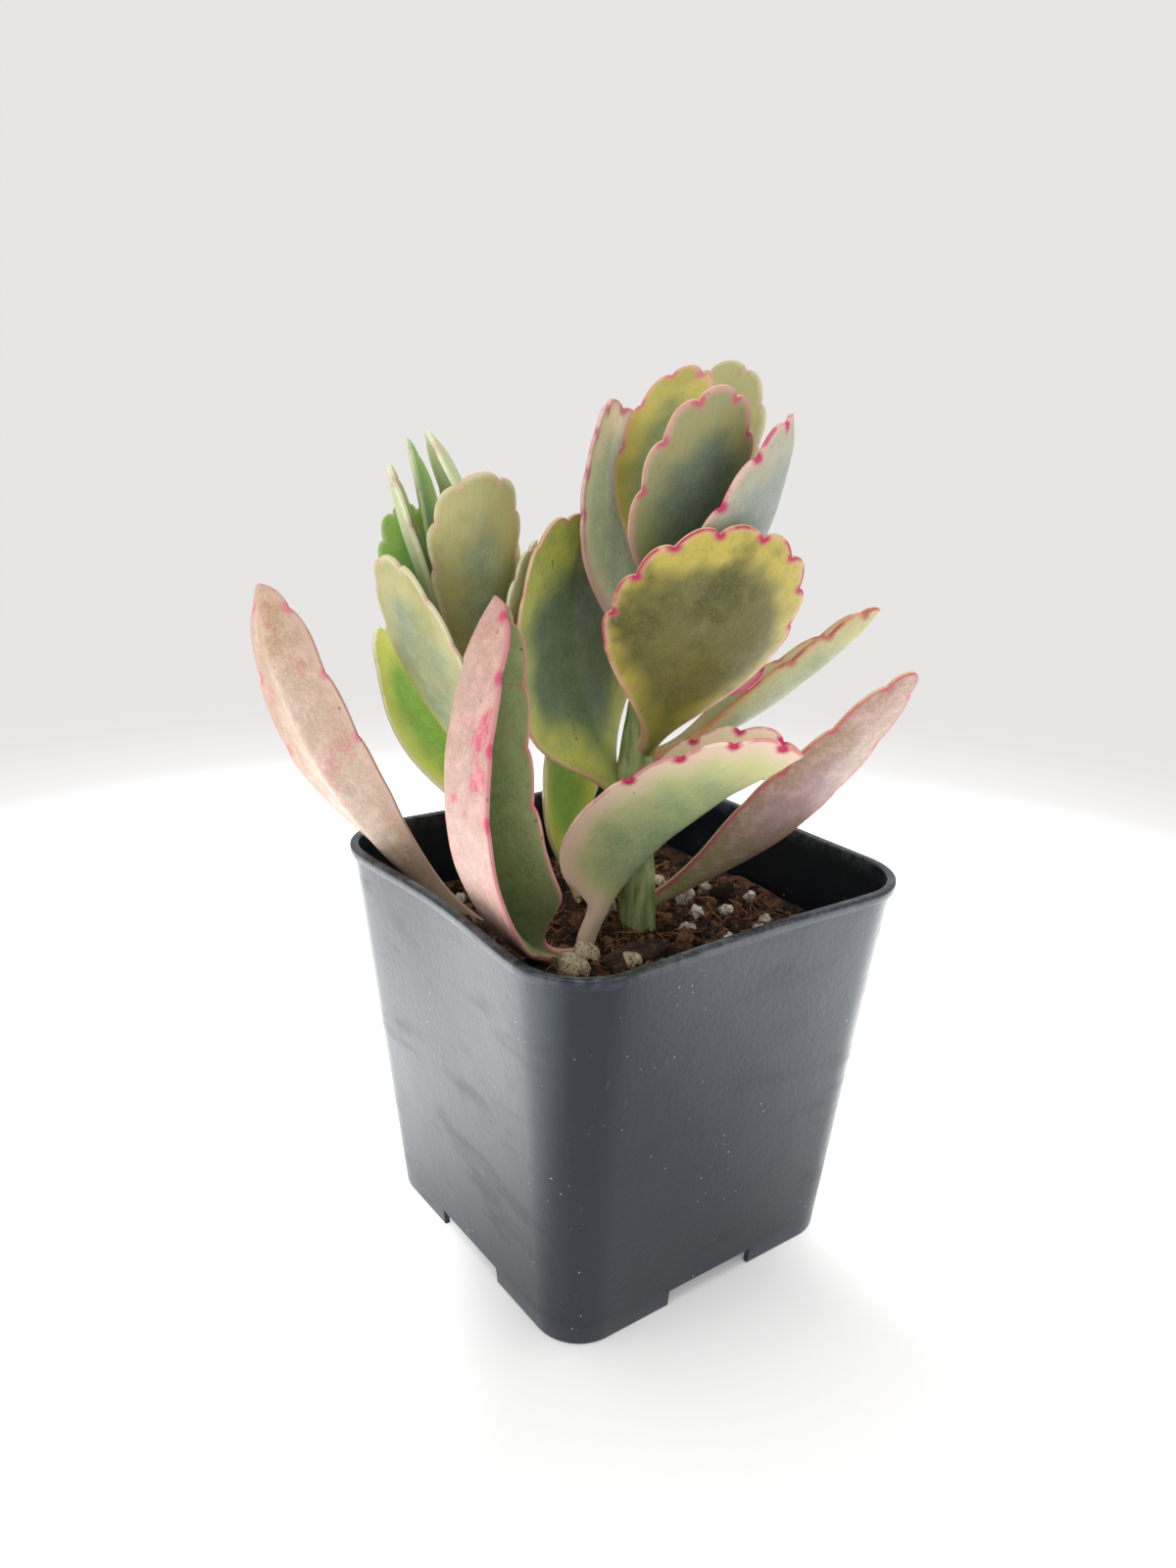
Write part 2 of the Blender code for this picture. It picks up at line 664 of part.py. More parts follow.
def blade_rows(leaf, at, rows):
    """The blade's middle surface and its upward direction, in rows from the right margin to the left."""
    along, out = margin(leaf, at)
    steps, path, up, left = midrib(leaf)
    spine = np.minimum(at * 1.12, 1.0) * SPINE_PART * leaf.length
    spine[0] = along[0]
    surface = []
    normals = []
    for row in range(-rows, rows + 1):
        part = abs(row) / rows
        side = 1 if row > 0 else -1
        fold = math.radians(leaf.fold[0] if row > 0 else leaf.fold[1])
        cup = math.radians(leaf.cup[0] if row > 0 else leaf.cup[1])
        x = spine + (along - spine) * part
        y = out * part
        curl = cup / (leaf.width / 2)
        if abs(curl) > 1e-6:
            across = (np.sin(fold + curl * y) - math.sin(fold)) / curl
            lift = (math.cos(fold) - np.cos(fold + curl * y)) / curl
        else:
            across = y * math.cos(fold)
            lift = y * math.sin(fold)
        here = x / leaf.length
        centre = np.stack([np.interp(here, steps, path[:, k]) for k in range(3)], 1)
        upward = np.stack([np.interp(here, steps, up[:, k]) for k in range(3)], 1)
        leftward = np.stack([np.interp(here, steps, left[:, k]) for k in range(3)], 1)
        surface.append(centre + leftward * (side * across)[:, None] + upward * lift[:, None])
        tilt = (fold * part + curl * y)[:, None] * side
        normals.append(upward * np.cos(tilt) - leftward * np.sin(tilt))
    return np.array(surface), np.array(normals)


def grown(leaf, grow):
    """The same leaf with its stalk's end, its margin and its tip moved out by grow, in mm."""
    azimuth = math.radians(leaf.azimuth)
    rise = math.radians(leaf.rise)
    level = math.cos(rise)
    ahead = Vector((level * math.cos(azimuth), level * math.sin(azimuth), math.sin(rise)))
    return replace(
        leaf,
        base=tuple(Vector(leaf.base) - ahead * grow),
        length=leaf.length + 2 * grow,
        width=leaf.width + 2 * grow,
        stalk=leaf.stalk + grow,
        thickness=leaf.thickness + 2 * grow,
    )


def leaf_shape(leaf):
    """A leaf as a closed shape: the blade's middle surface with its thickness on both sides."""
    at = lobe_points(leaf.notches, MARGIN_START, PER_LOBE)
    surface, normals = blade_rows(leaf, at, BLADE_ROWS)
    count = len(at)
    middle = BLADE_ROWS
    across = np.abs(np.arange(-BLADE_ROWS, BLADE_ROWS + 1)) / BLADE_ROWS
    thick = leaf.thickness + (EDGE_THICK - leaf.thickness) * across**2
    thinning = THICK_AT_STALK + (THICK_AT_TIP - THICK_AT_STALK) * np.clip(at / FULL_THIN, 0.0, 1.0)
    half = 0.5 * np.maximum(thick[:, None] * thinning[None, :], EDGE_THICK)
    shape = bmesh.new()
    top = (surface + normals * half[:, :, None]) * MM
    bottom = (surface - normals * half[:, :, None]) * MM
    sheets = []
    for sheet in (top, bottom):
        rows = [[shape.verts.new(Vector(point) + ORIGIN_SHIFT) for point in row[:-1]] for row in sheet]
        tip = [shape.verts.new(Vector(point) + ORIGIN_SHIFT) for point in sheet[middle:, -1]]
        for offset, row in enumerate(rows):
            row.append(tip[abs(offset - middle)])
        sheets.append(rows)
    upper, lower = sheets
    for i in range(2 * BLADE_ROWS):
        for j in range(count - 1):
            for rows, turned in ((upper, False), (lower, True)):
                corners = [rows[i][j], rows[i][j + 1], rows[i + 1][j + 1], rows[i + 1][j]]
                corners = list(dict.fromkeys(corners))
                shape.faces.new(corners[::-1] if turned else corners)
    for j in range(count - 1):
        shape.faces.new((upper[0][j], lower[0][j], lower[0][j + 1], upper[0][j + 1]))
        shape.faces.new((upper[-1][j], upper[-1][j + 1], lower[-1][j + 1], lower[-1][j]))
    start = [row[0] for row in upper] + [row[0] for row in reversed(lower)]
    shape.faces.new(start)
    bmesh.ops.triangulate(shape, faces=shape.faces)
    return shape


def make_leaf(leaf, seats, parts, material):
    """A leaf whose stalk ends in a seat round its stem."""
    made = object_from_bmesh(leaf.name, leaf_shape(leaf), parts, material)
    for seat in seats:
        boolean(made, seat, "DIFFERENCE")
    apply_modifiers(made)
    made.data.shade_smooth()
    made.data.set_sharp_from_angle(angle=math.radians(SHARP_ANGLE))


def main():
    for old in list(bpy.data.objects):
        bpy.data.objects.remove(old)
    parts = new_collection("scalloped_kalanchoe")
    cutters = new_collection("cutters", hidden=True)
    make_pot(parts, cutters, plain_material("pot_plastic", (0.075, 0.085, 0.095), 0.35))
    stem_green = plain_material("stem_green", (0.30, 0.42, 0.20), 0.5)
    seats = []
    for name, points in STEMS.items():
        make_stem(name, points, 0.0, parts, stem_green)
        seats.append(make_cutter(make_stem(name + "_seat", points, CLEARANCE, cutters)))
    leaf_materials = {}
    for kind, colour in LEAF_COLOURS.items():
        leaf_materials[kind] = plain_material(kind, colour, LEAF_ROUGHNESS)
    holes = list(seats)
    for leaf in LEAVES:
        make_leaf(leaf, seats, parts, leaf_materials[leaf.kind])
        if leaf.base[2] < BURIED_UNDER:
            larger = grown(leaf, CLEARANCE / MM)
            hole = object_from_bmesh(leaf.name + "_hole", leaf_shape(larger), cutters)
            holes.append(make_cutter(hole))
    make_mix(parts, cutters, holes, plain_material("coir", (0.09, 0.05, 0.03), 0.95))


main()
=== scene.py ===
"""Dresses the scalloped kalanchoe and its square nursery pot for a picture under soft studio light.

Metres, +Z up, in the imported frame. The plant's parts are modelled here with finer edges than the solids have, from
the same sizes, and every piece rides on the one body of the frame.
"""

import logging
import math
from dataclasses import dataclass
from enum import Enum
from typing import Any, Iterable

import bpy
import numpy as np
from mathutils import Euler, Matrix, Vector, noise


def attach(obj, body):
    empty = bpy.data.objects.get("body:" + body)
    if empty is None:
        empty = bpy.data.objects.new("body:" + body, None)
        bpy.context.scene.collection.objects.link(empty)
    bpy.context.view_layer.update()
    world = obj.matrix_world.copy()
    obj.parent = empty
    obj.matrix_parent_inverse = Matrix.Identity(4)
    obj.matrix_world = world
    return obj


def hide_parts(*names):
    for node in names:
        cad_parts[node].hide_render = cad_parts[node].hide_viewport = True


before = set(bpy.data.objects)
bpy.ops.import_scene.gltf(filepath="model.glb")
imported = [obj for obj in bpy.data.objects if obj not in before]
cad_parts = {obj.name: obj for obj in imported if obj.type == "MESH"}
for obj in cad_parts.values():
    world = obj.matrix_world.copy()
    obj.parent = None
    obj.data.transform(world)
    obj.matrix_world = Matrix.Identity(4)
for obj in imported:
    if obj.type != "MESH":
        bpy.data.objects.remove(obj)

log = logging.getLogger("kalanchoe")

MM = 0.001
ORIGIN_SHIFT = Vector((3.95, -1.07, 0.0)) * MM
CENTRE = np.array(ORIGIN_SHIFT)
BODY = "root"
FULL_TURN = 2.0 * math.pi
Triple = tuple[float, float, float]
Colour = Triple
Rows = tuple[Triple, ...]
Setting = dict[str, Any]


# Shader graphs


def linear(colour: Colour) -> tuple[float, float, float, float]:
    """Turns a colour as seen on a screen into linear light.

    Args:
        colour: Red, green and blue, each from 0 to 255.

    Returns:
        Linear red, green and blue with a full alpha.
    """
    parts = [value / 255.0 for value in colour]
    red, green, blue = (p / 12.92 if p <= 0.04045 else ((p + 0.055) / 1.055) ** 2.4 for p in parts)
    return (red, green, blue, 1.0)


def shaded(colour: Colour, gain: float, lift: float = 0.0) -> Colour:
    """A colour made darker or paler, within what a screen can show."""
    return tuple(min(value * gain + lift, 255.0) for value in colour)


@dataclass(frozen=True)
class Mottle:
    """Patches cut from noise.

    The scale is how many go to the metre. They start where the noise passes one value and are full at another. The
    detail is how many finer layers the noise has, and rough is how strong those are.
    """

    scale: float
    start: float
    full: float
    detail: float = 2.0
    rough: float = 0.5


class Value:
    """A shader socket whose arithmetic adds Math nodes."""

    def __init__(self, graph: "Graph", socket: bpy.types.NodeSocket) -> None:
        """Wraps one output socket of a graph."""
        self.graph = graph
        self.socket = socket

    def _math(self, operation: str, first: "Value | float", second: "Value | float") -> "Value":
        """Adds a Math node of two operands.

        Args:
            operation: The Math node's operation.
            first: The first operand.
            second: The second operand.

        Returns:
            The node's result.
        """
        made = self.graph.node("ShaderNodeMath", {"operation": operation}, {0: first, 1: second})
        return Value(self.graph, made.outputs[0])

    def __add__(self, other: "Value | float") -> "Value":
        """Sum."""
        return self._math("ADD", self, other)

    __radd__ = __add__

    def __sub__(self, other: "Value | float") -> "Value":
        """Difference."""
        return self._math("SUBTRACT", self, other)

    def __rsub__(self, other: "Value | float") -> "Value":
        """Difference from a number."""
        return self._math("SUBTRACT", other, self)

    def __mul__(self, other: "Value | float") -> "Value":
        """Product."""
        return self._math("MULTIPLY", self, other)

    __rmul__ = __mul__

    def largest(self, other: "Value | float") -> "Value":
        """The larger of two values."""
        return self._math("MAXIMUM", self, other)


class Graph:
    """The node graph of one finish, around its Principled shader."""

    def __init__(self, name: str) -> None:
        """Makes a material with this name and keeps its node tree.

        Args:
            name: The material's name.
        """
        self.material = bpy.data.materials.new(name)
        self.material.use_nodes = True
        self.tree = self.material.node_tree
        self.shader = self.tree.nodes["Principled BSDF"]
        self.place = Value(self, self.node("ShaderNodeTexCoord").outputs["Object"])

    def node(self, kind: str, settings: Setting | None = None, inputs: dict | None = None) -> bpy.types.Node:
        """Adds a node.

        Args:
            kind: The node's type.
            settings: Its properties, set first.
            inputs: Values or links for its sockets, by name or number.

        Returns:
            The new node.
        """
        made = self.tree.nodes.new(kind)
        for key, value in (settings or {}).items():
            setattr(made, key, value)
        for key, value in (inputs or {}).items():
            self.feed(made.inputs[key], value)
        return made

    def feed(self, socket: bpy.types.NodeSocket, value: Any) -> None:
        """Links a value to a socket, or sets the socket's own number or colour.

        Args:
            socket: The input socket.
            value: A Value to link, or what the socket is set to.
        """
        if isinstance(value, Value):
            self.tree.links.new(value.socket, socket)
        else:
            socket.default_value = value

    def set(self, **inputs: Any) -> None:
        """Feeds the shader's sockets, with underscores for the spaces in their names."""
        for name, value in inputs.items():
            self.feed(self.shader.inputs[name.replace("_", " ")], value)

    def attribute(self, name: str) -> Value:
        """The mesh attribute of this name, as a number."""
        made = self.node("ShaderNodeAttribute", {"attribute_name": name, "attribute_type": "GEOMETRY"})
        return Value(self, made.outputs["Fac"])

    def clouds(self, scale: float, detail: float = 2.0, rough: float = 0.5, at: Value | None = None) -> Value:
        """Noise from 0 to 1.

        Args:
            scale: How many patches to the metre.
            detail: How many finer layers it has.
            rough: How strong those are.
            at: Where it is read, in place of object coordinates.

        Returns:
            The noise.
        """
        sockets = {"Vector": at or self.place, "Scale": scale, "Detail": detail, "Roughness": rough}
        return Value(self, self.node("ShaderNodeTexNoise", None, sockets).outputs[0])

    def step(self, value: Value, low: float, high: float) -> Value:
        """A smooth rise from 0 to 1 between two values, or a fall where the first is the larger.

        Args:
            value: What is compared.
            low: Where the rise or fall starts from 0, in value.
            high: Where it reaches 1.

        Returns:
            The rise, held at 0 and 1 outside it.
        """
        turned = low > high
        sockets = {"Value": value, "From Min": min(low, high), "From Max": max(low, high)}
        sockets |= {"To Min": float(turned), "To Max": float(not turned)}
        made = self.node("ShaderNodeMapRange", {"interpolation_type": "SMOOTHSTEP"}, sockets)
        return Value(self, made.outputs["Result"])

    def mottled(self, mottle: Mottle, at: Value | None = None) -> Value:
        """Patches cut from noise, from 0 between them to 1 inside them."""
        return self.step(self.clouds(mottle.scale, mottle.detail, mottle.rough, at), mottle.start, mottle.full)

    def mix(self, part: Value | float, first: Value | Colour, second: Value | Colour) -> Value:
        """Blends two colours.

        Args:
            part: How much there is of the second, from 0 to 1.
            first: A colour as on a screen, or one that varies.
            second: The same.

        Returns:
            The blend.
        """
        low, high = (end if isinstance(end, Value) else linear(end) for end in (first, second))
        made = self.node("ShaderNodeMix", {"data_type": "RGBA"}, {0: part, 6: low, 7: high})
        return Value(self, made.outputs[2])

    def vector(self, x: Value | float, y: Value | float, z: Value | float) -> Value:
        """A vector of three numbers."""
        return Value(self, self.node("ShaderNodeCombineXYZ", None, {0: x, 1: y, 2: z}).outputs[0])

    def stretched(self, scale: Triple, turn: Triple = (0.0, 0.0, 0.0)) -> Value:
        """Object coordinates, turned about each axis in radians and stretched along each."""
        sockets = {"Vector": self.place, "Rotation": turn, "Scale": scale}
        return Value(self, self.node("ShaderNodeMapping", None, sockets).outputs[0])

    def cells(self, scale: float) -> Value:
        """Distances to scattered points, this many to the metre."""
        made = self.node("ShaderNodeTexVoronoi", None, {"Vector": self.place, "Scale": scale})
        return Value(self, made.outputs["Distance"])

    def relief(self, height: Value, distance: float, strength: float = 1.0) -> None:
        """Bumps the shader's surface by a height from 0 to 1, this many metres deep."""
        made = self.node("ShaderNodeBump", None, {"Height": height, "Distance": distance, "Strength": strength})
        self.set(Normal=Value(self, made.outputs["Normal"]))


# Finishes


# Patches on the leaves, then those on the stems and on the pot.
YELLOWED = Mottle(95.0, 0.48, 0.68, 3.0, 0.6)
STAINED = Mottle(140.0, 0.56, 0.66, 4.0, 0.65)
DUSTED = Mottle(420.0, 0.42, 0.72, 4.0, 0.65)
FLECKED = Mottle(2400.0, 0.4, 0.7, 3.0, 0.6)
RUBBED = Mottle(1.0, 0.62, 0.7, 4.0, 0.75)
LINE_BREAKS = Mottle(260.0, 0.4, 0.56)
FRECKLED = Mottle(240.0, 0.5, 0.6)
CORKY = Mottle(1400.0, 0.6, 0.74, 3.0, 0.6)
SCRAPED = Mottle(1.0, 0.66, 0.74, 4.0, 0.7)
SCUFFED = Mottle(60.0, 0.52, 0.66)
DUSTY = Mottle(110.0, 0.56, 0.64)
WEAR_AND_HIGHLIGHT = Mottle(500.0, 0.4, 0.62, 3.0, 0.65)
SMUDGED = Mottle(1.0, 0.5, 0.72, 3.0, 0.6)

# Where a rise starts and where it is full, in what it reads: the noise of the streaks, parts of the blade's length,
# mm from a notch and from the margin, and the distance to the middle of a freckle, a speck of dust or a pit.
STREAKED = (0.58, 0.78)
TOWARDS_TIP = (0.5, 1.0)
OUTER_PART = (0.35, 0.6)
BY_NOTCH = (1.5, 0.4)
BY_MARGIN = (1.5, 0.3)
FRECKLE_SIZE = (0.16, 0.06)
DUST_SIZE = (0.12, 0.05)
PIT_SIZE = (0.3, 0.1)

# How far the edge of a leaf's heart wanders and how far it draws back at the tip, as parts of its depth, and where
# along the blade the foot's colour is full.
HEART_WANDERS = 1.1
HEART_DRAWN_BACK = 0.55
FOOT_FULL = 0.05

# How deep light passes under the skin of leaves and stems.
SKIN_DEPTH = 1.2 * MM


class LeafFields:
    """What every layer of a leaf's skin reads: the blade's measures and the noise that the layers share."""

    def __init__(self, graph: Graph) -> None:
        """Reads the mesh's attributes and adds the noise.

        Args:
            graph: The skin's graph.
        """
        self.edge, self.notch = graph.attribute("edge"), graph.attribute("notch")
        self.along, self.across = graph.attribute("along"), graph.attribute("across")
        self.streaks = graph.clouds(1.0, 3.0, 0.6, graph.vector(self.across * 90.0, self.along * 9.0, 0.0))
        self.broad = graph.clouds(150.0)
        self.fine = graph.clouds(1500.0, 2.0, 0.6)


@dataclass(frozen=True)
class LeafFinish:
    """The skin of one side of a leaf.

    Colours are as on a screen. The heart gives way to the flesh this deep inside the margin, in mm, and the flesh to
    the rim this shallow inside it. The foot's colour reaches this part of the way up the blade. The strengths run
    from 0 to 1.
    """

    heart: Colour
    flesh: Colour
    rim: Colour
    blush: Colour = (190, 50, 98)
    foot: Colour = (150, 160, 96)
    foot_reach: float = 0.26
    patch: Colour = (126, 128, 42)
    freckle: Colour = (96, 74, 40)
    deep: float = 6.0
    shallow: float = 1.6
    line: float = 0.6
    spots: float = 0.7
    patches: float = 0.3
    stains: float = 0.0
    rubs: float = 0.2
    freckles: float = 0.3
    bloom: float = 0.3
    roughness: float = 0.5

    def fleshed(self, graph: Graph, leaf: LeafFields) -> Value:
        """The blade's own colours: its heart, the flesh round that, yellow and pink patches, and its foot.

        Args:
            graph: The skin's graph.
            leaf: The measures and noise that it reads.

        Returns:
            The colour.
        """
        wandering = (leaf.broad - 0.5) * (HEART_WANDERS * self.deep)
        drawn_back = graph.step(leaf.along, *TOWARDS_TIP) * (HEART_DRAWN_BACK * self.deep)
        inside = leaf.edge + wandering - drawn_back
        skin = graph.mix(graph.step(inside, 0.0, self.deep), self.flesh, self.heart)
        skin = graph.mix(graph.mottled(YELLOWED) * self.patches, skin, self.patch)
        if self.stains:
            skin = graph.mix(graph.mottled(STAINED) * self.stains, skin, self.blush)
        return graph.mix(graph.step(leaf.along, self.foot_reach, FOOT_FULL), skin, self.foot)

    def weathered(self, graph: Graph, leaf: LeafFields, skin: Value) -> Value:
        """Lays the pale waxy bloom over the flesh, with the streaks and marks where it is rubbed off.

        Args:
            graph: The skin's graph.
            leaf: The measures and noise that it reads.
            skin: The flesh's colour.

        Returns:
            The colour.
        """
        pale = shaded(self.heart, 1.22, 12.0)
        skin = graph.mix(graph.mottled(DUSTED) * self.bloom, skin, pale)
        streaks = graph.step(leaf.streaks, *STREAKED) * (self.bloom + 0.15)
        skin = graph.mix(streaks, skin, shaded(self.heart, 0.62))
        skin = graph.mix(graph.mottled(FLECKED) * 0.25, skin, pale)
        marks = graph.mottled(RUBBED, graph.vector(leaf.across * 34.0, leaf.along * 16.0, 3.0))
        return graph.mix(marks * self.rubs, skin, shaded(self.heart, 0.55))

    def edged(self, graph: Graph, leaf: LeafFields, skin: Value) -> Value:
        """Lays the light rim, the broken crimson line, the blotches at the notches and the brown freckles.

        Args:
            graph: The skin's graph.
            leaf: The measures and noise that it reads.
            skin: The colour under them.

        Returns:
            The colour.
        """
        margin = leaf.edge + (leaf.fine - 0.5) * 0.5 + (leaf.broad - 0.5) * 0.8
        skin = graph.mix(graph.step(margin, self.shallow, 0.0), skin, self.rim)
        blotch = leaf.notch + (graph.clouds(900.0) - 0.5)
        spots = graph.step(blotch, *BY_NOTCH) * graph.step(leaf.edge, *BY_MARGIN) * self.spots
        outer = graph.step(leaf.along, *OUTER_PART) * 0.7 + 0.3
        line = graph.step(leaf.edge + (leaf.fine - 0.5) * 0.2, 0.3 + 0.35 * self.line, 0.1)
        line = line * graph.mottled(LINE_BREAKS) * outer * self.line
        skin = graph.mix(line.largest(spots), skin, self.blush)
        dots = graph.step(graph.cells(520.0), *FRECKLE_SIZE) * graph.mottled(FRECKLED)
        return graph.mix(dots * self.freckles, skin, self.freckle)

    def build(self, name: str) -> bpy.types.Material:
        """Makes the material.

        Args:
            name: Its name.

        Returns:
            A waxy skin: pale bloom over a dark heart, a light rim, a crimson line and blotches at the notches.
        """
        graph = Graph(name)
        leaf = LeafFields(graph)
        skin = self.edged(graph, leaf, self.weathered(graph, leaf, self.fleshed(graph, leaf)))
        rough = (leaf.fine - 0.5) * 0.16 + (leaf.broad - 0.5) * 0.2 + self.roughness
        graph.set(Base_Color=skin, Roughness=rough, Specular_IOR_Level=0.4)
        graph.set(Subsurface_Weight=0.12, Subsurface_Radius=(1.0, 0.8, 0.35), Subsurface_Scale=SKIN_DEPTH)
        graph.relief(leaf.streaks * 0.5 + leaf.fine * 0.5 + graph.clouds(700.0) * 0.6, 0.12 * MM, 0.7)
        return graph.material


class Tone(Enum):
    """The skins that the leaves' sides have."""

    OLIVE = LeafFinish(
        heart=(106, 102, 54), flesh=(200, 182, 84), rim=(219, 178, 146), blush=(186, 44, 88),
        foot=(104, 118, 54), foot_reach=0.4, patch=(76, 78, 20), deep=4.5, shallow=1.2, line=1.0, spots=1.0,
        patches=0.95, rubs=0.25, bloom=0.35,
    )
    OLIVE_YELLOW = LeafFinish(
        heart=(108, 118, 72), flesh=(188, 172, 80), rim=(217, 164, 138), patch=(143, 134, 44), deep=5.5,
        shallow=1.2, line=0.2, spots=0.6, patches=0.4,
    )
    GREY_UNDER = LeafFinish(
        heart=(106, 118, 98), flesh=(160, 154, 100), rim=(208, 161, 150), patch=(132, 140, 68), deep=4.5,
        shallow=1.2, line=0.15, patches=0.25,
    )
    PALE_GREY = LeafFinish(
        heart=(146, 153, 148), flesh=(182, 176, 151), rim=(223, 186, 173), deep=4.5, shallow=1.2, line=0.8,
        spots=1.0, patches=0.15,
    )
    GLAUCOUS = LeafFinish(
        heart=(98, 118, 88), flesh=(204, 208, 98), rim=(216, 190, 145), blush=(196, 110, 84), deep=7.5,
        shallow=0.9, line=0.25, spots=0.3, patches=0.2, rubs=0.9, bloom=0.35, roughness=0.42,
    )
    # Painted light: this skin is made far paler than its leaf's face really is, to stand for light that the shaded
    # face lacks.
    PINK_EDGED_PAINTED_LIGHT = LeafFinish(
        heart=(200, 216, 188), flesh=(244, 232, 206), rim=(230, 192, 186), deep=4.0, shallow=1.8, line=0.3,
        spots=0.6, patches=0.1, rubs=0.6, roughness=0.4,
    )
    FRESH = LeafFinish(
        heart=(95, 146, 47), flesh=(129, 162, 64), rim=(169, 196, 138), foot=(120, 160, 80), deep=4.0,
        shallow=0.7, line=0.0, spots=0.05, patches=0.1, rubs=0.1, roughness=0.42,
    )
    # Partly its leaves' own yellow-green and partly painted light: a paler, yellower copy of FRESH whose extra
    # lightness stands for light that shaded faces lack.
    FRESH_PAINTED_LIGHT = LeafFinish(
        heart=(146, 190, 70), flesh=(240, 236, 116), rim=(231, 233, 179), foot=(120, 160, 80), shallow=0.7,
        line=0.0, spots=0.05, patches=0.1, rubs=0.1, roughness=0.42,
    )
    PALE_GREEN = LeafFinish(
        heart=(155, 177, 148), flesh=(192, 200, 148), rim=(224, 225, 194), patch=(186, 187, 92), deep=4.5,
        shallow=1.0, line=0.0, spots=0.25,
    )
    SAGE = LeafFinish(
        heart=(119, 131, 98), flesh=(177, 170, 111), rim=(204, 198, 162), patch=(146, 138, 57), shallow=1.0,
        line=0.0, spots=0.25, patches=0.5, bloom=0.4,
    )
    PEACH = LeafFinish(
        heart=(184, 165, 148), flesh=(182, 154, 131), rim=(198, 168, 152), blush=(206, 80, 112),
        foot=(180, 178, 126), foot_reach=0.32, patch=(179, 136, 95), line=0.2, spots=0.6, patches=0.6,
        stains=0.3, rubs=0.0, freckles=0.8, bloom=0.4,
    )
    PINK = LeafFinish(
        heart=(192, 160, 148), flesh=(192, 153, 139), rim=(199, 139, 140), blush=(206, 66, 110),
        foot=(204, 190, 160), patch=(190, 138, 111), shallow=1.0, line=0.25, spots=0.9, patches=0.45,
        stains=0.8, rubs=0.0, freckles=0.6, bloom=0.4,
    )
    MAUVE = LeafFinish(
        heart=(177, 147, 144), flesh=(168, 139, 114), rim=(193, 114, 120), blush=(194, 60, 98),
        foot=(142, 154, 74), foot_reach=0.55, patch=(148, 136, 86), deep=5.0, shallow=0.8, line=0.7, spots=0.6,
        patches=0.25, rubs=0.25, bloom=0.5,
    )
    CREAMY = LeafFinish(
        heart=(158, 176, 130), flesh=(230, 226, 164), rim=(255, 224, 204), blush=(206, 50, 100),
        foot=(150, 172, 104), foot_reach=0.3, patch=(179, 198, 120), deep=9.5, shallow=4.2, spots=1.0,
        patches=0.25,
    )
    DARK_GREEN = LeafFinish(
        heart=(129, 138, 90), flesh=(142, 151, 105), rim=(184, 153, 118), blush=(170, 80, 84),
        foot=(140, 156, 112), patch=(86, 100, 54), deep=4.0, shallow=0.7, line=0.3, spots=0.3, patches=0.2,
        rubs=0.5, freckles=0.8,
    )
    SAFFRON = LeafFinish(
        heart=(150, 156, 124), flesh=(196, 188, 140), rim=(211, 162, 122), blush=(178, 60, 62),
        foot=(150, 178, 100), patch=(183, 177, 110), deep=4.0, shallow=0.9, line=0.7, patches=0.4, bloom=0.35,
    )
    ROSE = LeafFinish(
        heart=(190, 164, 142), flesh=(228, 170, 180), rim=(224, 120, 150), shallow=1.4, spots=0.8, patches=0.2,
    )


@dataclass(frozen=True)
class StemFinish:
    """The skin of a stem: green with paler scars and lengthwise streaks."""

    green: Colour = (110, 136, 78)
    pale: Colour = (172, 182, 128)
    brown: Colour = (120, 104, 70)

    def build(self) -> bpy.types.Material:
        """Makes the material.

        Returns:
            A streaked skin that is paler by the mesh's attribute scar, from 0 to 1 at a scar.
        """
        graph = Graph("stem_skin")
        streaks = graph.clouds(1.0, 3.0, 0.6, graph.stretched((900.0, 900.0, 120.0)))
        skin = graph.mix(graph.step(streaks, 0.35, 0.7), self.green, self.pale)
        specks = graph.mottled(CORKY)
        skin = graph.mix(specks * 0.5, skin, self.brown)
        skin = graph.mix(graph.attribute("scar") * 0.6, skin, self.pale)
        graph.set(Base_Color=skin, Roughness=streaks * 0.2 + 0.4)
        graph.set(Subsurface_Weight=0.1, Subsurface_Radius=(1.0, 0.8, 0.4), Subsurface_Scale=SKIN_DEPTH)
        graph.relief(streaks + specks * 0.4, 0.15 * MM, 0.8)
        return graph.material


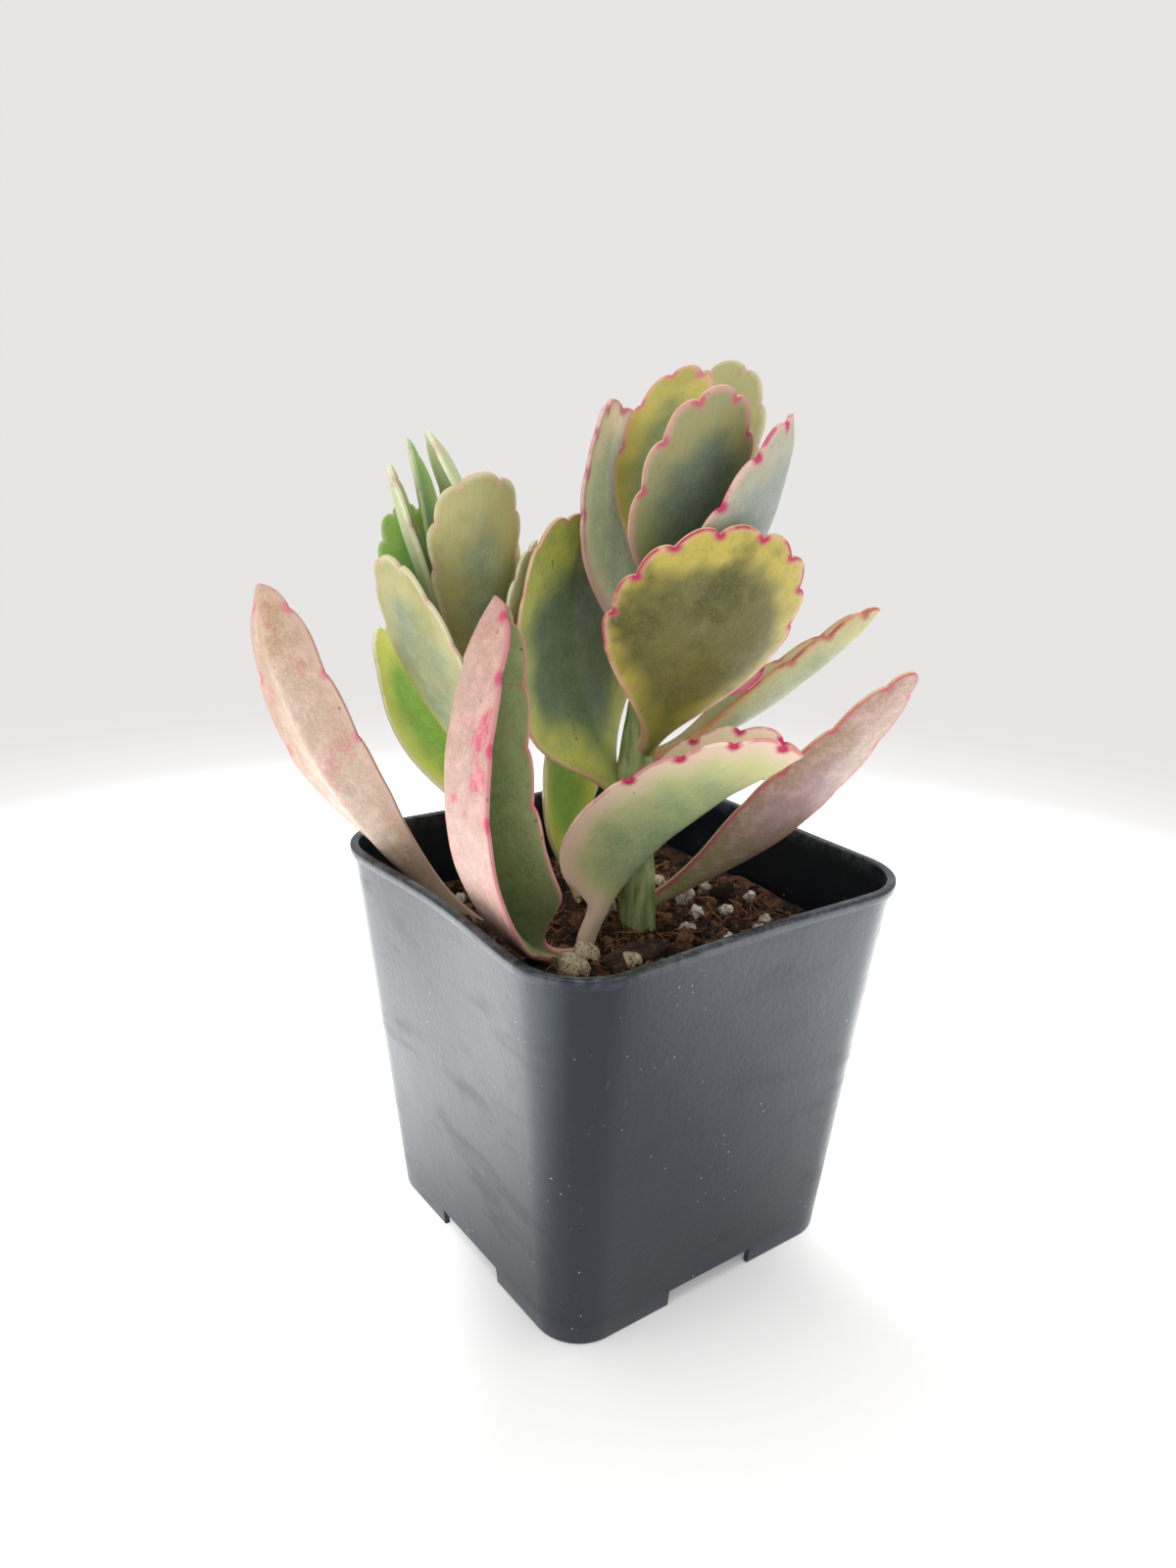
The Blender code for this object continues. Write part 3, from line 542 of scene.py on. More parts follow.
@dataclass(frozen=True)
class PotFinish:
    """Charcoal plastic with a slight orange peel, scuffs, smudges and specks of dust, and a lip with pale patches
    that are partly wear and partly a painted highlight along its top.
    """

    plastic: Colour = (15, 20, 29)
    faded: Colour = (24, 30, 39)
    scuff: Colour = (150, 154, 158)
    dust: Colour = (196, 192, 184)
    wear_and_highlight: Colour = (118, 122, 128)
    gleam: Colour = (232, 243, 255)
    roughness: float = 0.3

    def build(self) -> bpy.types.Material:
        """Makes the material.

        Returns:
            A plastic whose lip reads the mesh's attribute lip, from 0 below it to 1 on its top, where its pale
            patches are partly wear and partly a painted highlight.
        """
        graph = Graph("pot_plastic_skin")
        broad = graph.clouds(38.0, 3.0, 0.6)
        skin = graph.mix(graph.step(broad, 0.35, 0.7) * 0.35, self.plastic, self.faded)
        scrapes = graph.mottled(SCRAPED, graph.stretched((1500.0, 1500.0, 60.0), (0.35, 0.2, 0.5)))
        scuffs = scrapes * graph.mottled(SCUFFED)
        skin = graph.mix(scuffs * 0.35, skin, self.scuff)
        specks = graph.step(graph.cells(700.0), *DUST_SIZE) * graph.mottled(DUSTY)
        skin = graph.mix(specks * 0.7, skin, self.dust)
        # Partly wear and partly a painted highlight: pale patches on the lip, strongest along its top.
        skin = graph.mix(graph.attribute("lip") * graph.mottled(WEAR_AND_HIGHLIGHT) * 0.3, skin, self.wear_and_highlight)
        smudge = graph.mottled(SMUDGED, graph.stretched((60.0, 60.0, 190.0)))
        shine = (broad - 0.5) * 0.12 + smudge * 0.12 + scuffs * 0.15 + specks * 0.3 + self.roughness
        graph.set(Base_Color=skin, Roughness=shine, Specular_IOR_Level=0.55, Specular_Tint=linear(self.gleam))
        graph.relief(graph.clouds(1100.0) * 0.5 + scuffs * 0.6 + graph.clouds(120.0) * 1.2, 0.08 * MM, 0.8)
        return graph.material


@dataclass(frozen=True)
class CoirFinish:
    """Damp coir and bark dust: brown crumbs and orange threads, with near black patches that are partly the damp
    coir's own dark and partly painted shade in its gaps and hollows.
    """

    name: str
    dark_and_shade: Colour = (26, 19, 15)
    brown: Colour = (104, 72, 52)
    bright: Colour = (170, 122, 82)
    lifted: float = 0.5

    def build(self) -> bpy.types.Material:
        """Makes the material.

        Returns:
            A rough brown that is darker or paler by the mesh's attribute tone, from 0 to 1; on the bed the tone is
            painted shade, low in its hollows.
        """
        graph = Graph(self.name)
        lumps = graph.clouds(700.0, 5.0, 0.7)
        threads = graph.clouds(1.0, 3.0, 0.6, graph.stretched((2600.0, 500.0, 900.0), (0.4, 0.2, 0.9)))
        # Painted shade in part: the noise's near black patches stand for shaded gaps, and on the bed the tone, low
        # in its hollows, darkens them further; on loose pieces the tone is random.
        shift = (graph.attribute("tone") - 0.5) * self.lifted
        skin = graph.mix(graph.step(lumps + shift, 0.4, 0.72), self.dark_and_shade, self.brown)
        skin = graph.mix(graph.step(threads, 0.62, 0.76) * 0.7, skin, self.bright)
        graph.set(Base_Color=skin, Roughness=lumps * 0.2 + 0.8, Specular_IOR_Level=0.25)
        graph.relief(lumps + threads * 0.5, 0.6 * MM)
        return graph.material


@dataclass(frozen=True)
class StoneFinish:
    """A porous grain, pitted and stained by the mix round it, with painted shade in its pits."""

    name: str
    pale: Colour
    stain: Colour
    pit_shade: float = 0.35

    def build(self) -> bpy.types.Material:
        """Makes the material.

        Returns:
            A pitted pale stone that is more or less stained by the mesh's attribute tone, from 0 to 1, with its pits
            painted darker as shade.
        """
        graph = Graph(self.name)
        holes = graph.cells(2400.0)
        grime = graph.clouds(420.0, 4.0, 0.65) + (graph.attribute("tone") - 0.5) * 0.3
        skin = graph.mix(graph.step(grime, 0.48, 0.72), self.pale, self.stain)
        # Painted shade: the pits turn to a darker stain, for the shade inside them.
        skin = graph.mix(graph.step(holes, *PIT_SIZE) * self.pit_shade, skin, shaded(self.stain, 0.5))
        graph.set(Base_Color=skin, Roughness=grime * 0.15 + 0.78)
        graph.relief(graph.step(holes, 0.05, 0.4) + graph.clouds(900.0, 3.0) * 0.6, 0.3 * MM)
        return graph.material


@dataclass(frozen=True)
class SweepFinish:
    """The studio's floor: matt white round the pot, lit up beside it, and as bright as the room far from it.

    It fades from the white into the room between the near and the far distance from the middle, in metres. The
    glows are how much light it gives off everywhere, behind the pot to the left, and to its right.
    """

    white: Colour = (243, 243, 243)
    room: Colour = (231, 230, 229)
    near: float = 0.15
    far: float = 0.36
    glow: float = 0.16
    back_left: float = 2.2
    right: float = 2.8

    def build(self) -> bpy.types.Material:
        """Makes the material.

        Returns:
            A matt white that gives off some light of its own.
        """
        graph = Graph("studio_white")
        measured = graph.node("ShaderNodeVectorMath", {"operation": "LENGTH"}, {0: graph.place})
        distance = Value(graph, measured.outputs["Value"])
        away = graph.step(distance, self.near, self.far)
        parts = graph.node("ShaderNodeSeparateXYZ", None, {0: graph.place})
        x, y = Value(graph, parts.outputs[0]), Value(graph, parts.outputs[1])
        behind = graph.step(y - x, 0.0, 0.1) * self.back_left
        beside = graph.step(x + y * 0.3, 0.0, 0.09) * self.right
        lit = (behind + beside) * graph.step(distance, 0.28, 0.12) + self.glow
        graph.set(Base_Color=graph.mix(away, self.white, (0, 0, 0)), Roughness=0.9, Specular_IOR_Level=0.0)
        graph.set(Emission_Color=graph.mix(away, graph.vector(lit, lit, lit), self.room), Emission_Strength=1.0)
        return graph.material


# Modelling helpers


def deselect() -> None:
    """Deselects everything, so that an operator acts on the new piece alone."""
    if bpy.context.object and bpy.context.object.mode != "OBJECT":
        bpy.ops.object.mode_set(mode="OBJECT")
    bpy.ops.object.select_all(action="DESELECT")


def pick(piece: bpy.types.Object) -> None:
    """Makes a piece the only one selected, and the active one.

    Args:
        piece: The piece.
    """
    deselect()
    piece.select_set(True)
    bpy.context.view_layer.objects.active = piece


def rename(piece: bpy.types.Object, name: str) -> bpy.types.Object:
    """Gives a piece and its mesh one name.

    Args:
        piece: The piece.
        name: Its new name.

    Returns:
        The same piece.
    """
    piece.name = name
    piece.data.name = name
    return piece


def add_field(piece: bpy.types.Object, name: str, values: np.ndarray) -> None:
    """Stores one number to each point of a mesh."""
    piece.data.attributes.new(name, "FLOAT", "POINT").data.foreach_set("value", values.astype(np.float32))


def merge_doubles() -> None:
    """Merges the points of the active piece that coincide."""
    bpy.ops.object.mode_set(mode="EDIT")
    bpy.ops.mesh.select_all(action="SELECT")
    bpy.ops.mesh.remove_doubles(threshold=1e-6)
    bpy.ops.object.mode_set(mode="OBJECT")


def shaped_grid(name: str, points: np.ndarray, fields: dict[str, np.ndarray] | None = None) -> bpy.types.Object:
    """Adds a grid and draws it over rows of points, with the points that coincide made one.

    Args:
        name: The piece's name.
        points: Rows by columns of places, in metres.
        fields: Numbers of the same rows and columns, kept as the mesh's attributes.

    Returns:
        The piece, with its points in place and its doubles merged.
    """
    rows, columns = points.shape[:2]
    deselect()
    bpy.ops.mesh.primitive_grid_add(x_subdivisions=columns - 1, y_subdivisions=rows - 1, size=2.0)
    piece = rename(bpy.context.active_object, name)
    flat = np.empty(len(piece.data.vertices) * 3, np.float32)
    piece.data.vertices.foreach_get("co", flat)
    flat = flat.reshape(-1, 3)
    column = np.rint((flat[:, 0] + 1.0) / 2.0 * (columns - 1)).astype(int)
    row = np.rint((flat[:, 1] + 1.0) / 2.0 * (rows - 1)).astype(int)
    piece.data.vertices.foreach_set("co", points[row, column].astype(np.float32).reshape(-1))
    for key, values in (fields or {}).items():
        add_field(piece, key, values[row, column])
    for layer in list(piece.data.uv_layers):
        piece.data.uv_layers.remove(layer)
    merge_doubles()
    return piece


def face_outwards(piece: bpy.types.Object) -> None:
    """Turns the faces of a closed piece outwards.

    Args:
        piece: The piece.
    """
    pick(piece)
    bpy.ops.object.mode_set(mode="EDIT")
    bpy.ops.mesh.select_all(action="SELECT")
    bpy.ops.mesh.normals_make_consistent(inside=False)
    bpy.ops.object.mode_set(mode="OBJECT")


def apply_all(piece: bpy.types.Object) -> None:
    """Applies every modifier of a piece, in order.

    Args:
        piece: The piece.
    """
    pick(piece)
    for modifier in list(piece.modifiers):
        bpy.ops.object.modifier_apply(modifier=modifier.name)


def shade(piece: bpy.types.Object, degrees: float | None = None) -> None:
    """Shades a piece smooth.

    Args:
        piece: The piece.
        degrees: The angle past which an edge stays a crease, where there is one.
    """
    pick(piece)
    if degrees is None:
        bpy.ops.object.shade_smooth()
    else:
        bpy.ops.object.shade_smooth_by_angle(angle=math.radians(degrees))


def closed_tube(rings: list[np.ndarray]) -> np.ndarray:
    """Closes a tube at both ends with a ring drawn together into its own middle.

    Args:
        rings: The tube's rings, in order.

    Returns:
        The rings with the ends added, as rows of points.
    """
    ends = [np.repeat(ring.mean(axis=0)[None], len(ring), axis=0) for ring in (rings[0], rings[-1])]
    return np.array([ends[0]] + rings + [ends[1]])


def scattered(name: str, base: bpy.types.Object, places: Iterable[Matrix], tones: np.ndarray) -> bpy.types.Object:
    """Copies one small shape to many places as one piece, and removes the shape it copies.

    Args:
        name: The piece's name.
        base: The shape that is copied.
        places: Where each copy goes.
        tones: A number from 0 to 1 for each copy, kept as the attribute tone.

    Returns:
        The joined copies.
    """
    mesh = base.data
    points = np.array([tuple(v.co) for v in mesh.vertices])
    faces = [tuple(face.vertices) for face in mesh.polygons]
    all_points = []
    all_faces = []
    for number, matrix in enumerate(places):
        turned = points @ np.array(matrix.to_3x3()).T + np.array(matrix.translation)
        all_points.append(turned)
        first = number * len(points)
        all_faces += [tuple(first + corner for corner in face) for face in faces]
    joined = bpy.data.meshes.new(name)
    joined.from_pydata(np.vstack(all_points).tolist(), [], all_faces)
    piece = bpy.data.objects.new(name, joined)
    bpy.context.scene.collection.objects.link(piece)
    add_field(piece, "tone", np.repeat(tones[: len(all_points)], len(points)))
    bpy.data.objects.remove(base)
    bpy.data.meshes.remove(mesh)
    return piece


def finish_piece(piece: bpy.types.Object, slot: str, *materials: bpy.types.Material) -> None:
    """Dresses a piece, makes it ride on the object's body and logs it.

    Args:
        piece: The piece.
        slot: The name of its kind of material. It is not used.
        materials: What it is dressed in.
    """
    for material in materials:
        piece.data.materials.append(material)
    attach(piece, BODY)
    log.info("%s: %d faces", piece.name, len(piece.data.polygons))


# The pot


@dataclass
class Pot:
    """The square nursery pot: a thin tapered shell with round corners, bowed sides, a lip and a notched foot.

    Sizes are in metres. The bows are how far the middle of each side leans inwards at the rim, for the sides facing
    +X, +Y, -X and -Y. The notch is how wide and how tall each side's cut in the foot is. The levels are the lowest
    and highest rings of the wall, as parts of its height, and how many there are.
    """

    height: float = 61.1 * MM
    rim_half: float = 32.6 * MM
    rim_corner: float = 10.5 * MM
    foot_half: float = 26.2 * MM
    foot_corner: float = 7.0 * MM
    least_corner: float = 1.5 * MM
    wall: float = 0.9 * MM
    edge: float = 0.3 * MM
    lip_out: float = 0.5 * MM
    lip_tall: float = 1.5 * MM
    floor_under: float = 3.4 * MM
    floor_thick: float = 1.2 * MM
    bows: tuple[float, ...] = (0.0 * MM, 1.0 * MM, 1.1 * MM, 0.6 * MM)
    notch: tuple[float, float] = (16.0 * MM, 2.8 * MM)
    drain_radius: float = 3.5 * MM
    drain_reach: float = 16.0 * MM
    drain_sides: int = 32
    corner_steps: int = 16
    side_steps: int = 24
    outer_levels: tuple[float, float, int] = (0.06, 0.94, 16)
    inner_levels: tuple[float, float, int] = (0.96, 0.15, 12)
    crease: float = 32.0

    def ring(self, half: float, corner: float, bow_part: float, height: float) -> np.ndarray:
        """The pot's outline at one height, closed by its first point.

        Args:
            half: Half the outline's width.
            corner: Its corner radius.
            bow_part: How much of the sides' bows it has.
            height: How high it lies.

        Returns:
            The outline's points.
        """
        points = []
        straight = half - corner
        for side, bow in enumerate(self.bows):
            angle = side * math.pi / 2
            normal = np.array([math.cos(angle), math.sin(angle)])
            tangent = np.array([-normal[1], normal[0]])
            for step in range(self.side_steps):
                part = -1.0 + 2.0 * step / (self.side_steps - 1)
                depth = bow * bow_part * (1.0 - part**2) ** 2
                points.append(normal * (half - depth) + tangent * (straight * part))
            for step in range(1, self.corner_steps):
                turn = math.pi / 2 * step / self.corner_steps
                outward, sideways = straight + corner * math.cos(turn), straight + corner * math.sin(turn)
                points.append(normal * outward + tangent * sideways)
        flat = np.array(points + points[:1]) + CENTRE[:2]
        return np.column_stack([flat, np.full(len(flat), height)])

    def wall_ring(self, height: float, inset: float = 0.0) -> np.ndarray:
        """The wall's outline.

        Args:
            height: How high it lies.
            inset: How far inside the wall's outer face it runs.

        Returns:
            The outline's points.
        """
        part = height / self.height
        half = self.foot_half + (self.rim_half - self.lip_out - self.foot_half) * part - inset
        corner = self.foot_corner + (self.rim_corner - self.lip_out - self.foot_corner) * part - inset
        return self.ring(half, max(corner, self.least_corner), part**2, height)

    def wall_rings(self, levels: tuple[float, float, int], inset: float = 0.0) -> list[np.ndarray]:
        """Evenly spaced outlines of the wall, moved inwards by inset."""
        return [self.wall_ring(self.height * part, inset) for part in np.linspace(*levels)]

    def lip_ring(self, height: float, inset: float) -> np.ndarray:
        """The lip's outline at a height, moved inwards by inset."""
        return self.ring(self.rim_half - inset, self.rim_corner - inset, 1.0, height)

    def rounded(self, *angles: float) -> list[tuple[float, float]]:
        """Points of a soft edge.

        Args:
            angles: Where each point is, in radians from the level of the edge's side.

        Returns:
            How far each lies below the edge's top and inside its side.
        """
        return [(self.edge * (1.0 - math.sin(angle)), self.edge * (1.0 - math.cos(angle))) for angle in angles]

    def rings(self) -> list[np.ndarray]:
        """The rings of the shell.

        Returns:
            Outlines from the middle of its underside over the lip to the middle of its floor.
        """
        low, high = self.height - self.lip_tall, self.height
        inner = self.lip_out + self.wall
        top = self.floor_under + self.floor_thick
        facing_in = self.rounded(1.5, 1.0, 0.5, 0.0)
        rings = [self.wall_ring(self.floor_under, self.wall), self.wall_ring(0.0, self.wall)]
        rings += [self.wall_ring(drop, inset) for drop, inset in facing_in]
        rings += self.wall_rings(self.outer_levels)
        rings += [self.wall_ring(low - 2 * self.edge), self.wall_ring(low - self.edge / 3)]
        rings.append(self.lip_ring(low, self.edge))
        rings += [self.lip_ring(low + drop, inset) for drop, inset in self.rounded(1.3, 0.8, 0.3)]
        rings += [self.lip_ring(high - drop, inset) for drop, inset in self.rounded(0.0, 0.4, 0.8, 1.2, 1.5)]
        rings += [self.lip_ring(high - drop, inner - inset) for drop, inset in facing_in]
        rings += self.wall_rings(self.inner_levels, self.wall)
        rings.append(self.wall_ring(top, self.wall))
        first, last = rings[0], rings[-1]
        under, over = np.append(CENTRE[:2], self.floor_under), np.append(CENTRE[:2], top)
        before = [under + (first - under) * part for part in (0.0, 0.5)]
        after = [over + (last - over) * part for part in (0.5, 0.0)]
        return before + rings + after

    def cutters(self) -> list[bpy.types.Object]:
        """Adds what cuts the foot.

        Returns:
            The blocks that cut the notches and the rods that cut the drain holes.
        """
        made = []
        wide, tall = self.notch
        past = 3 * self.foot_half
        for size in ((past, wide, 2 * tall), (wide, past, 2 * tall)):
            deselect()
            bpy.ops.mesh.primitive_cube_add(size=1.0, location=ORIGIN_SHIFT, scale=size)
            made.append(bpy.context.active_object)
        for x, y in ((0, 0), (1, 0), (0, 1), (-1, 0), (0, -1)):
            place = Vector((x * self.drain_reach, y * self.drain_reach, self.floor_under)) + ORIGIN_SHIFT
            deselect()
            bpy.ops.mesh.primitive_cylinder_add(
                vertices=self.drain_sides, radius=self.drain_radius, depth=6 * self.floor_thick, location=place
            )
            made.append(bpy.context.active_object)
        return made

    def build(self) -> None:
        """Models the shell, cuts its foot and dresses it."""
        rings = self.rings()
        heights = np.array([np.mean(ring[:, 2]) for ring in rings])
        lip = np.clip((heights - (self.height - self.lip_tall)) / self.lip_tall, 0.0, 1.0)
        lip = np.repeat(lip[:, None], len(rings[0]), axis=1)
        pot = shaped_grid("pot_shell", np.array(rings), {"lip": lip})
        face_outwards(pot)
        cutters = self.cutters()
        for cutter in cutters:
            cut = pot.modifiers.new("cut", "BOOLEAN")
            cut.operation = "DIFFERENCE"
            cut.solver = "MANIFOLD"
            cut.object = cutter
        apply_all(pot)
        for cutter in cutters:
            bpy.data.objects.remove(cutter)
        shade(pot, self.crease)
        pot.data.materials.clear()
        finish_piece(pot, "pot", PotFinish().build())
        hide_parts("pot")


# The potting mix


@dataclass
class PottingMix:
    """The coir mix: a crumbly bed that fills the pot, loose crumbs and threads, perlite, pumice and bark chips.

    The top, crumb and gap are in metres and all else in mm from the pot's centre. The bed's unevenness has layers,
    each with the size of its lumps, the level at which its noise is read and its strength. Loose crumbs and threads
    are tried out to their own reach and kept where they lie inside the wall, whose round corners leave this part of
    its half width along x and y together. The grains' rows are x, y and size, and the long chip's ends x, y and z.
    The sinks say how much of its size a grain's middle lies over the bed, and jagged, lumpy and even how far a
    grain's surface strays, as a part of its radius. The seed fixes every random number and all uneven grains.
    """

    pot: Pot
    top: float = 49.2 * MM
    crumb: float = 1.3 * MM
    gap: float = 0.3 * MM
    layers: Rows = ((9.0, 0.0, 1.0), (3.0, 0.013, 0.7), (1.1, 0.021, 0.3))
    bed_rings: int = 46
    half_inside: float = 27.4
    corner_part: float = 1.72
    crumbs: int = 1800
    crumb_reach: float = 27.5
    crumb_sizes: tuple[float, float] = (0.25, 1.25)
    crumb_crease: float = 50.0
    crumb_sink: float = 0.15
    stone_sink: float = 0.3
    chip_sink: float = 0.25
    jagged: float = 0.42
    lumpy: float = 0.22
    even: float = 0.16
    threads: int = 700
    thread_reach: float = 27.0
    thread_sizes: tuple[float, float] = (0.9, 3.2)
    thread_widths: tuple[float, float] = (1.2, 2.6)
    thread_lifts: tuple[float, float] = (0.1, 0.9)
    thread_tilt: float = 0.28
    any_way: float = 6.3
    seed: int = 11
    perlite: Rows = (
        (9.8, -6.6, 1.5), (15.4, 1.2, 1.7), (20.8, 2.5, 1.2), (21.2, -11.8, 1.2), (18.0, -13.6, 1.0),
        (23.1, 22.5, 1.3), (21.7, 19.4, 1.4), (13.2, -4.4, 1.3), (17.4, -6.6, 1.1), (6.4, -14.8, 0.9),
        (-15.4, 21.1, 1.2), (11.9, -13.2, 1.0), (3.6, 16.2, 1.4), (-6.2, 20.4, 1.3), (24.5, -4.5, 1.0),
    )
    pumice: Rows = (
        (-14.5, -9.3, 2.7), (-10.3, -7.0, 2.1), (-1.6, 2.2, 2.2), (2.4, 5.4, 1.9), (-22.5, 0.4, 2.1),
        (-6.5, -12.6, 1.7), (8.0, 16.0, 2.0), (-22.5, 18.0, 1.9), (16.0, 9.0, 1.7),
    )
    chips: Rows = ((-18.6, 6.0, 2.6), (14.0, -16.5, 2.4), (19.5, -3.0, 2.2), (10.0, 11.0, 2.8), (-3.0, 13.0, 2.4))
    long_chip: Rows = ((-11.9, -12.6, 50.6), (2.2, -10.4, 50.2))
    long_chip_radii: Triple = (6.4, 2.2, 0.9)
    chip_shape: Triple = (1.3, 0.8, 0.45)

    def height_at(self, x: float, y: float) -> float:
        """How far the bed stands over its level at this place, in metres."""
        lumps = (noise.noise(Vector((x, y, level)) / (size * MM)) * part for size, level, part in self.layers)
        return self.crumb * sum(lumps)

    def bed(self) -> bpy.types.Object:
        """Models the plug of mix.

        Returns:
            The plug, smooth at its sides and crumbly on top.
        """
        inset = self.pot.wall + self.gap
        floor = self.pot.floor_under + self.pot.floor_thick + self.gap
        levels = [floor, 0.33 * self.pot.height, 0.66 * self.pot.height, self.top]
        rings = [self.pot.wall_ring(level, inset) for level in levels]
        rim = rings[-1]
        middle = np.append(CENTRE[:2], self.top)
        for part in np.linspace(0.97, 0.0, self.bed_rings):
            ring = middle + (rim - middle) * part
            lift = np.array([self.height_at(x, y) for x, y, _ in ring])
            rings.append(ring + np.array([0.0, 0.0, 1.0]) * lift[:, None])
        centre = np.append(CENTRE[:2], floor)
        grid = np.array([centre + (rings[0] - centre) * part for part in (0.0, 0.5)] + rings)
        # Painted shade: the tone falls with the bed's height, so its low places turn darker and its high lumps
        # paler.
        tone = np.clip(0.5 + (grid[:, :, 2] - self.top) / (3.0 * self.crumb), 0.0, 1.0)
        bed = shaped_grid("potting_mix_bed", grid, {"tone": tone})
        face_outwards(bed)
        shade(bed)
        return bed

    def inside(self, x: float, y: float, room: float) -> bool:
        """Whether a place in mm from the pot's centre lies inside the wall with this much room."""
        half = self.half_inside - room
        return abs(x) < half and abs(y) < half and abs(x) + abs(y) < self.corner_part * half

    def spot(self, x: float, y: float, lift: float) -> Vector:
        """A place over the bed.

        Args:
            x: How far it lies from the pot's centre, in mm.
            y: The same across.
            lift: How far over the bed it lies, in metres.

        Returns:
            The place, in metres.
        """
        spot = Vector((x * MM, y * MM, 0.0)) + ORIGIN_SHIFT
        spot.z = self.top + self.height_at(spot.x, spot.y) + lift
        return spot

    def placed(self, x: float, y: float, size: float, sink: float, rng: np.random.Generator) -> Matrix:
        """A random turn and an uneven scale on the bed.

        Args:
            x: Its place from the pot's centre, in mm.
            y: The same across.
            size: Its size in mm.
            sink: How much of its size its middle lies over the bed.
            rng: Where the random numbers come from.

        Returns:
            The copy's matrix.
        """
        turn = Euler(tuple(rng.uniform(0.0, FULL_TURN, 3))).to_matrix().to_4x4()
        scale = Matrix.Diagonal((*(size * MM * rng.uniform(0.7, 1.15, 3)), 1.0))
        return Matrix.Translation(self.spot(x, y, sink * size * MM)) @ turn @ scale

    def crumb_places(self, rng: np.random.Generator) -> list[Matrix]:
        """Where half of the crumbs lie.

        Args:
            rng: Where the random numbers come from.

        Returns:
            The copies' matrices, most of them of small crumbs.
        """
        low, high = self.crumb_sizes
        found: list[Matrix] = []
        while len(found) < self.crumbs // 2:
            x, y = rng.uniform(-self.crumb_reach, self.crumb_reach, 2)
            size = low + (high - low) * rng.random() ** 2.5
            if self.inside(x, y, size):
                found.append(self.placed(x, y, size, self.crumb_sink, rng))
        return found

    def lump(self, name: str, subdivisions: int, rough: float, offset: float) -> bpy.types.Object:
        """A lumpy ball of radius 1 to be copied.

        Args:
            name: Its name.
            subdivisions: How fine it is.
            rough: How uneven it is.
            offset: Where its noise is read, so that two lumps differ.

        Returns:
            The lump.
        """
        coarse, fine, fine_part = 1.3, 3.1, 0.45
        deselect()
        bpy.ops.mesh.primitive_ico_sphere_add(subdivisions=subdivisions, radius=1.0)
        made = rename(bpy.context.active_object, name)
        for vertex in made.data.vertices:
            large = noise.noise_vector(vertex.co * coarse + Vector((offset, 0.0, 0.0)))
            small = noise.noise_vector(vertex.co * fine + Vector((0.0, offset, 0.0)))
            vertex.co += large * rough + small * rough * fine_part
        return made

    def thread(self) -> bpy.types.Object:
        """A thin bent thread to be copied.

        Returns:
            A tapered rod of four sides and length 2.
        """
        turn = np.linspace(0.0, FULL_TURN, 5)
        section = np.column_stack([np.zeros(len(turn)), np.cos(turn), np.sin(turn)])
        rows = []
        for step in np.linspace(-1.0, 1.0, 7):
            bend, rise = 0.22 * math.sin(2.4 * step + 1.0), 0.18 * math.cos(1.9 * step + 2.0)
            radius = 0.05 * (1.0 - 0.8 * abs(step) ** 3)
            rows.append(np.array([step, bend, rise]) + radius * section)
        made = shaped_grid("thread", closed_tube(rows))
        face_outwards(made)
        return made

    def thread_places(self, rng: np.random.Generator) -> list[Matrix]:
        """Where the threads lie.

        Args:
            rng: Where the random numbers come from.

        Returns:
            The copies' matrices, nearly flat on the bed and turned every way.
        """
        found: list[Matrix] = []
        while len(found) < self.threads:
            x, y = rng.uniform(-self.thread_reach, self.thread_reach, 2)
            size = rng.uniform(*self.thread_sizes)
            if not self.inside(x, y, size * 0.9):
                continue
            about, over = rng.uniform(0, self.any_way), rng.normal(0.0, self.thread_tilt)
            turn = Euler((about, over, rng.uniform(0, self.any_way))).to_matrix().to_4x4()
            widths = [rng.uniform(*self.thread_widths) * MM for _ in range(2)]
            scale = Matrix.Diagonal((size * MM, *widths, 1.0))
            lift = rng.uniform(*self.thread_lifts) * MM
            found.append(Matrix.Translation(self.spot(x, y, lift)) @ turn @ scale)
        return found

    def bark_places(self, rng: np.random.Generator) -> list[Matrix]:
        """Where the bark lies.

        Args:
            rng: Where the random numbers come from.

        Returns:
            A long chip near the front corner, and smaller ones about the bed.
        """
        first, second = (Vector(end) for end in self.long_chip)
        middle = (first + second) / 2 * MM + ORIGIN_SHIFT
        turn = Euler((0.35, 0.03, math.atan2(second.y - first.y, second.x - first.x))).to_matrix().to_4x4()
        radii = [radius * MM for radius in self.long_chip_radii]
        places = [Matrix.Translation(middle) @ turn @ Matrix.Diagonal((*radii, 1.0))]
        flattened = Matrix.Diagonal((*self.chip_shape, 1.0))
        return places + [self.placed(x, y, size, self.chip_sink, rng) @ flattened for x, y, size in self.chips]

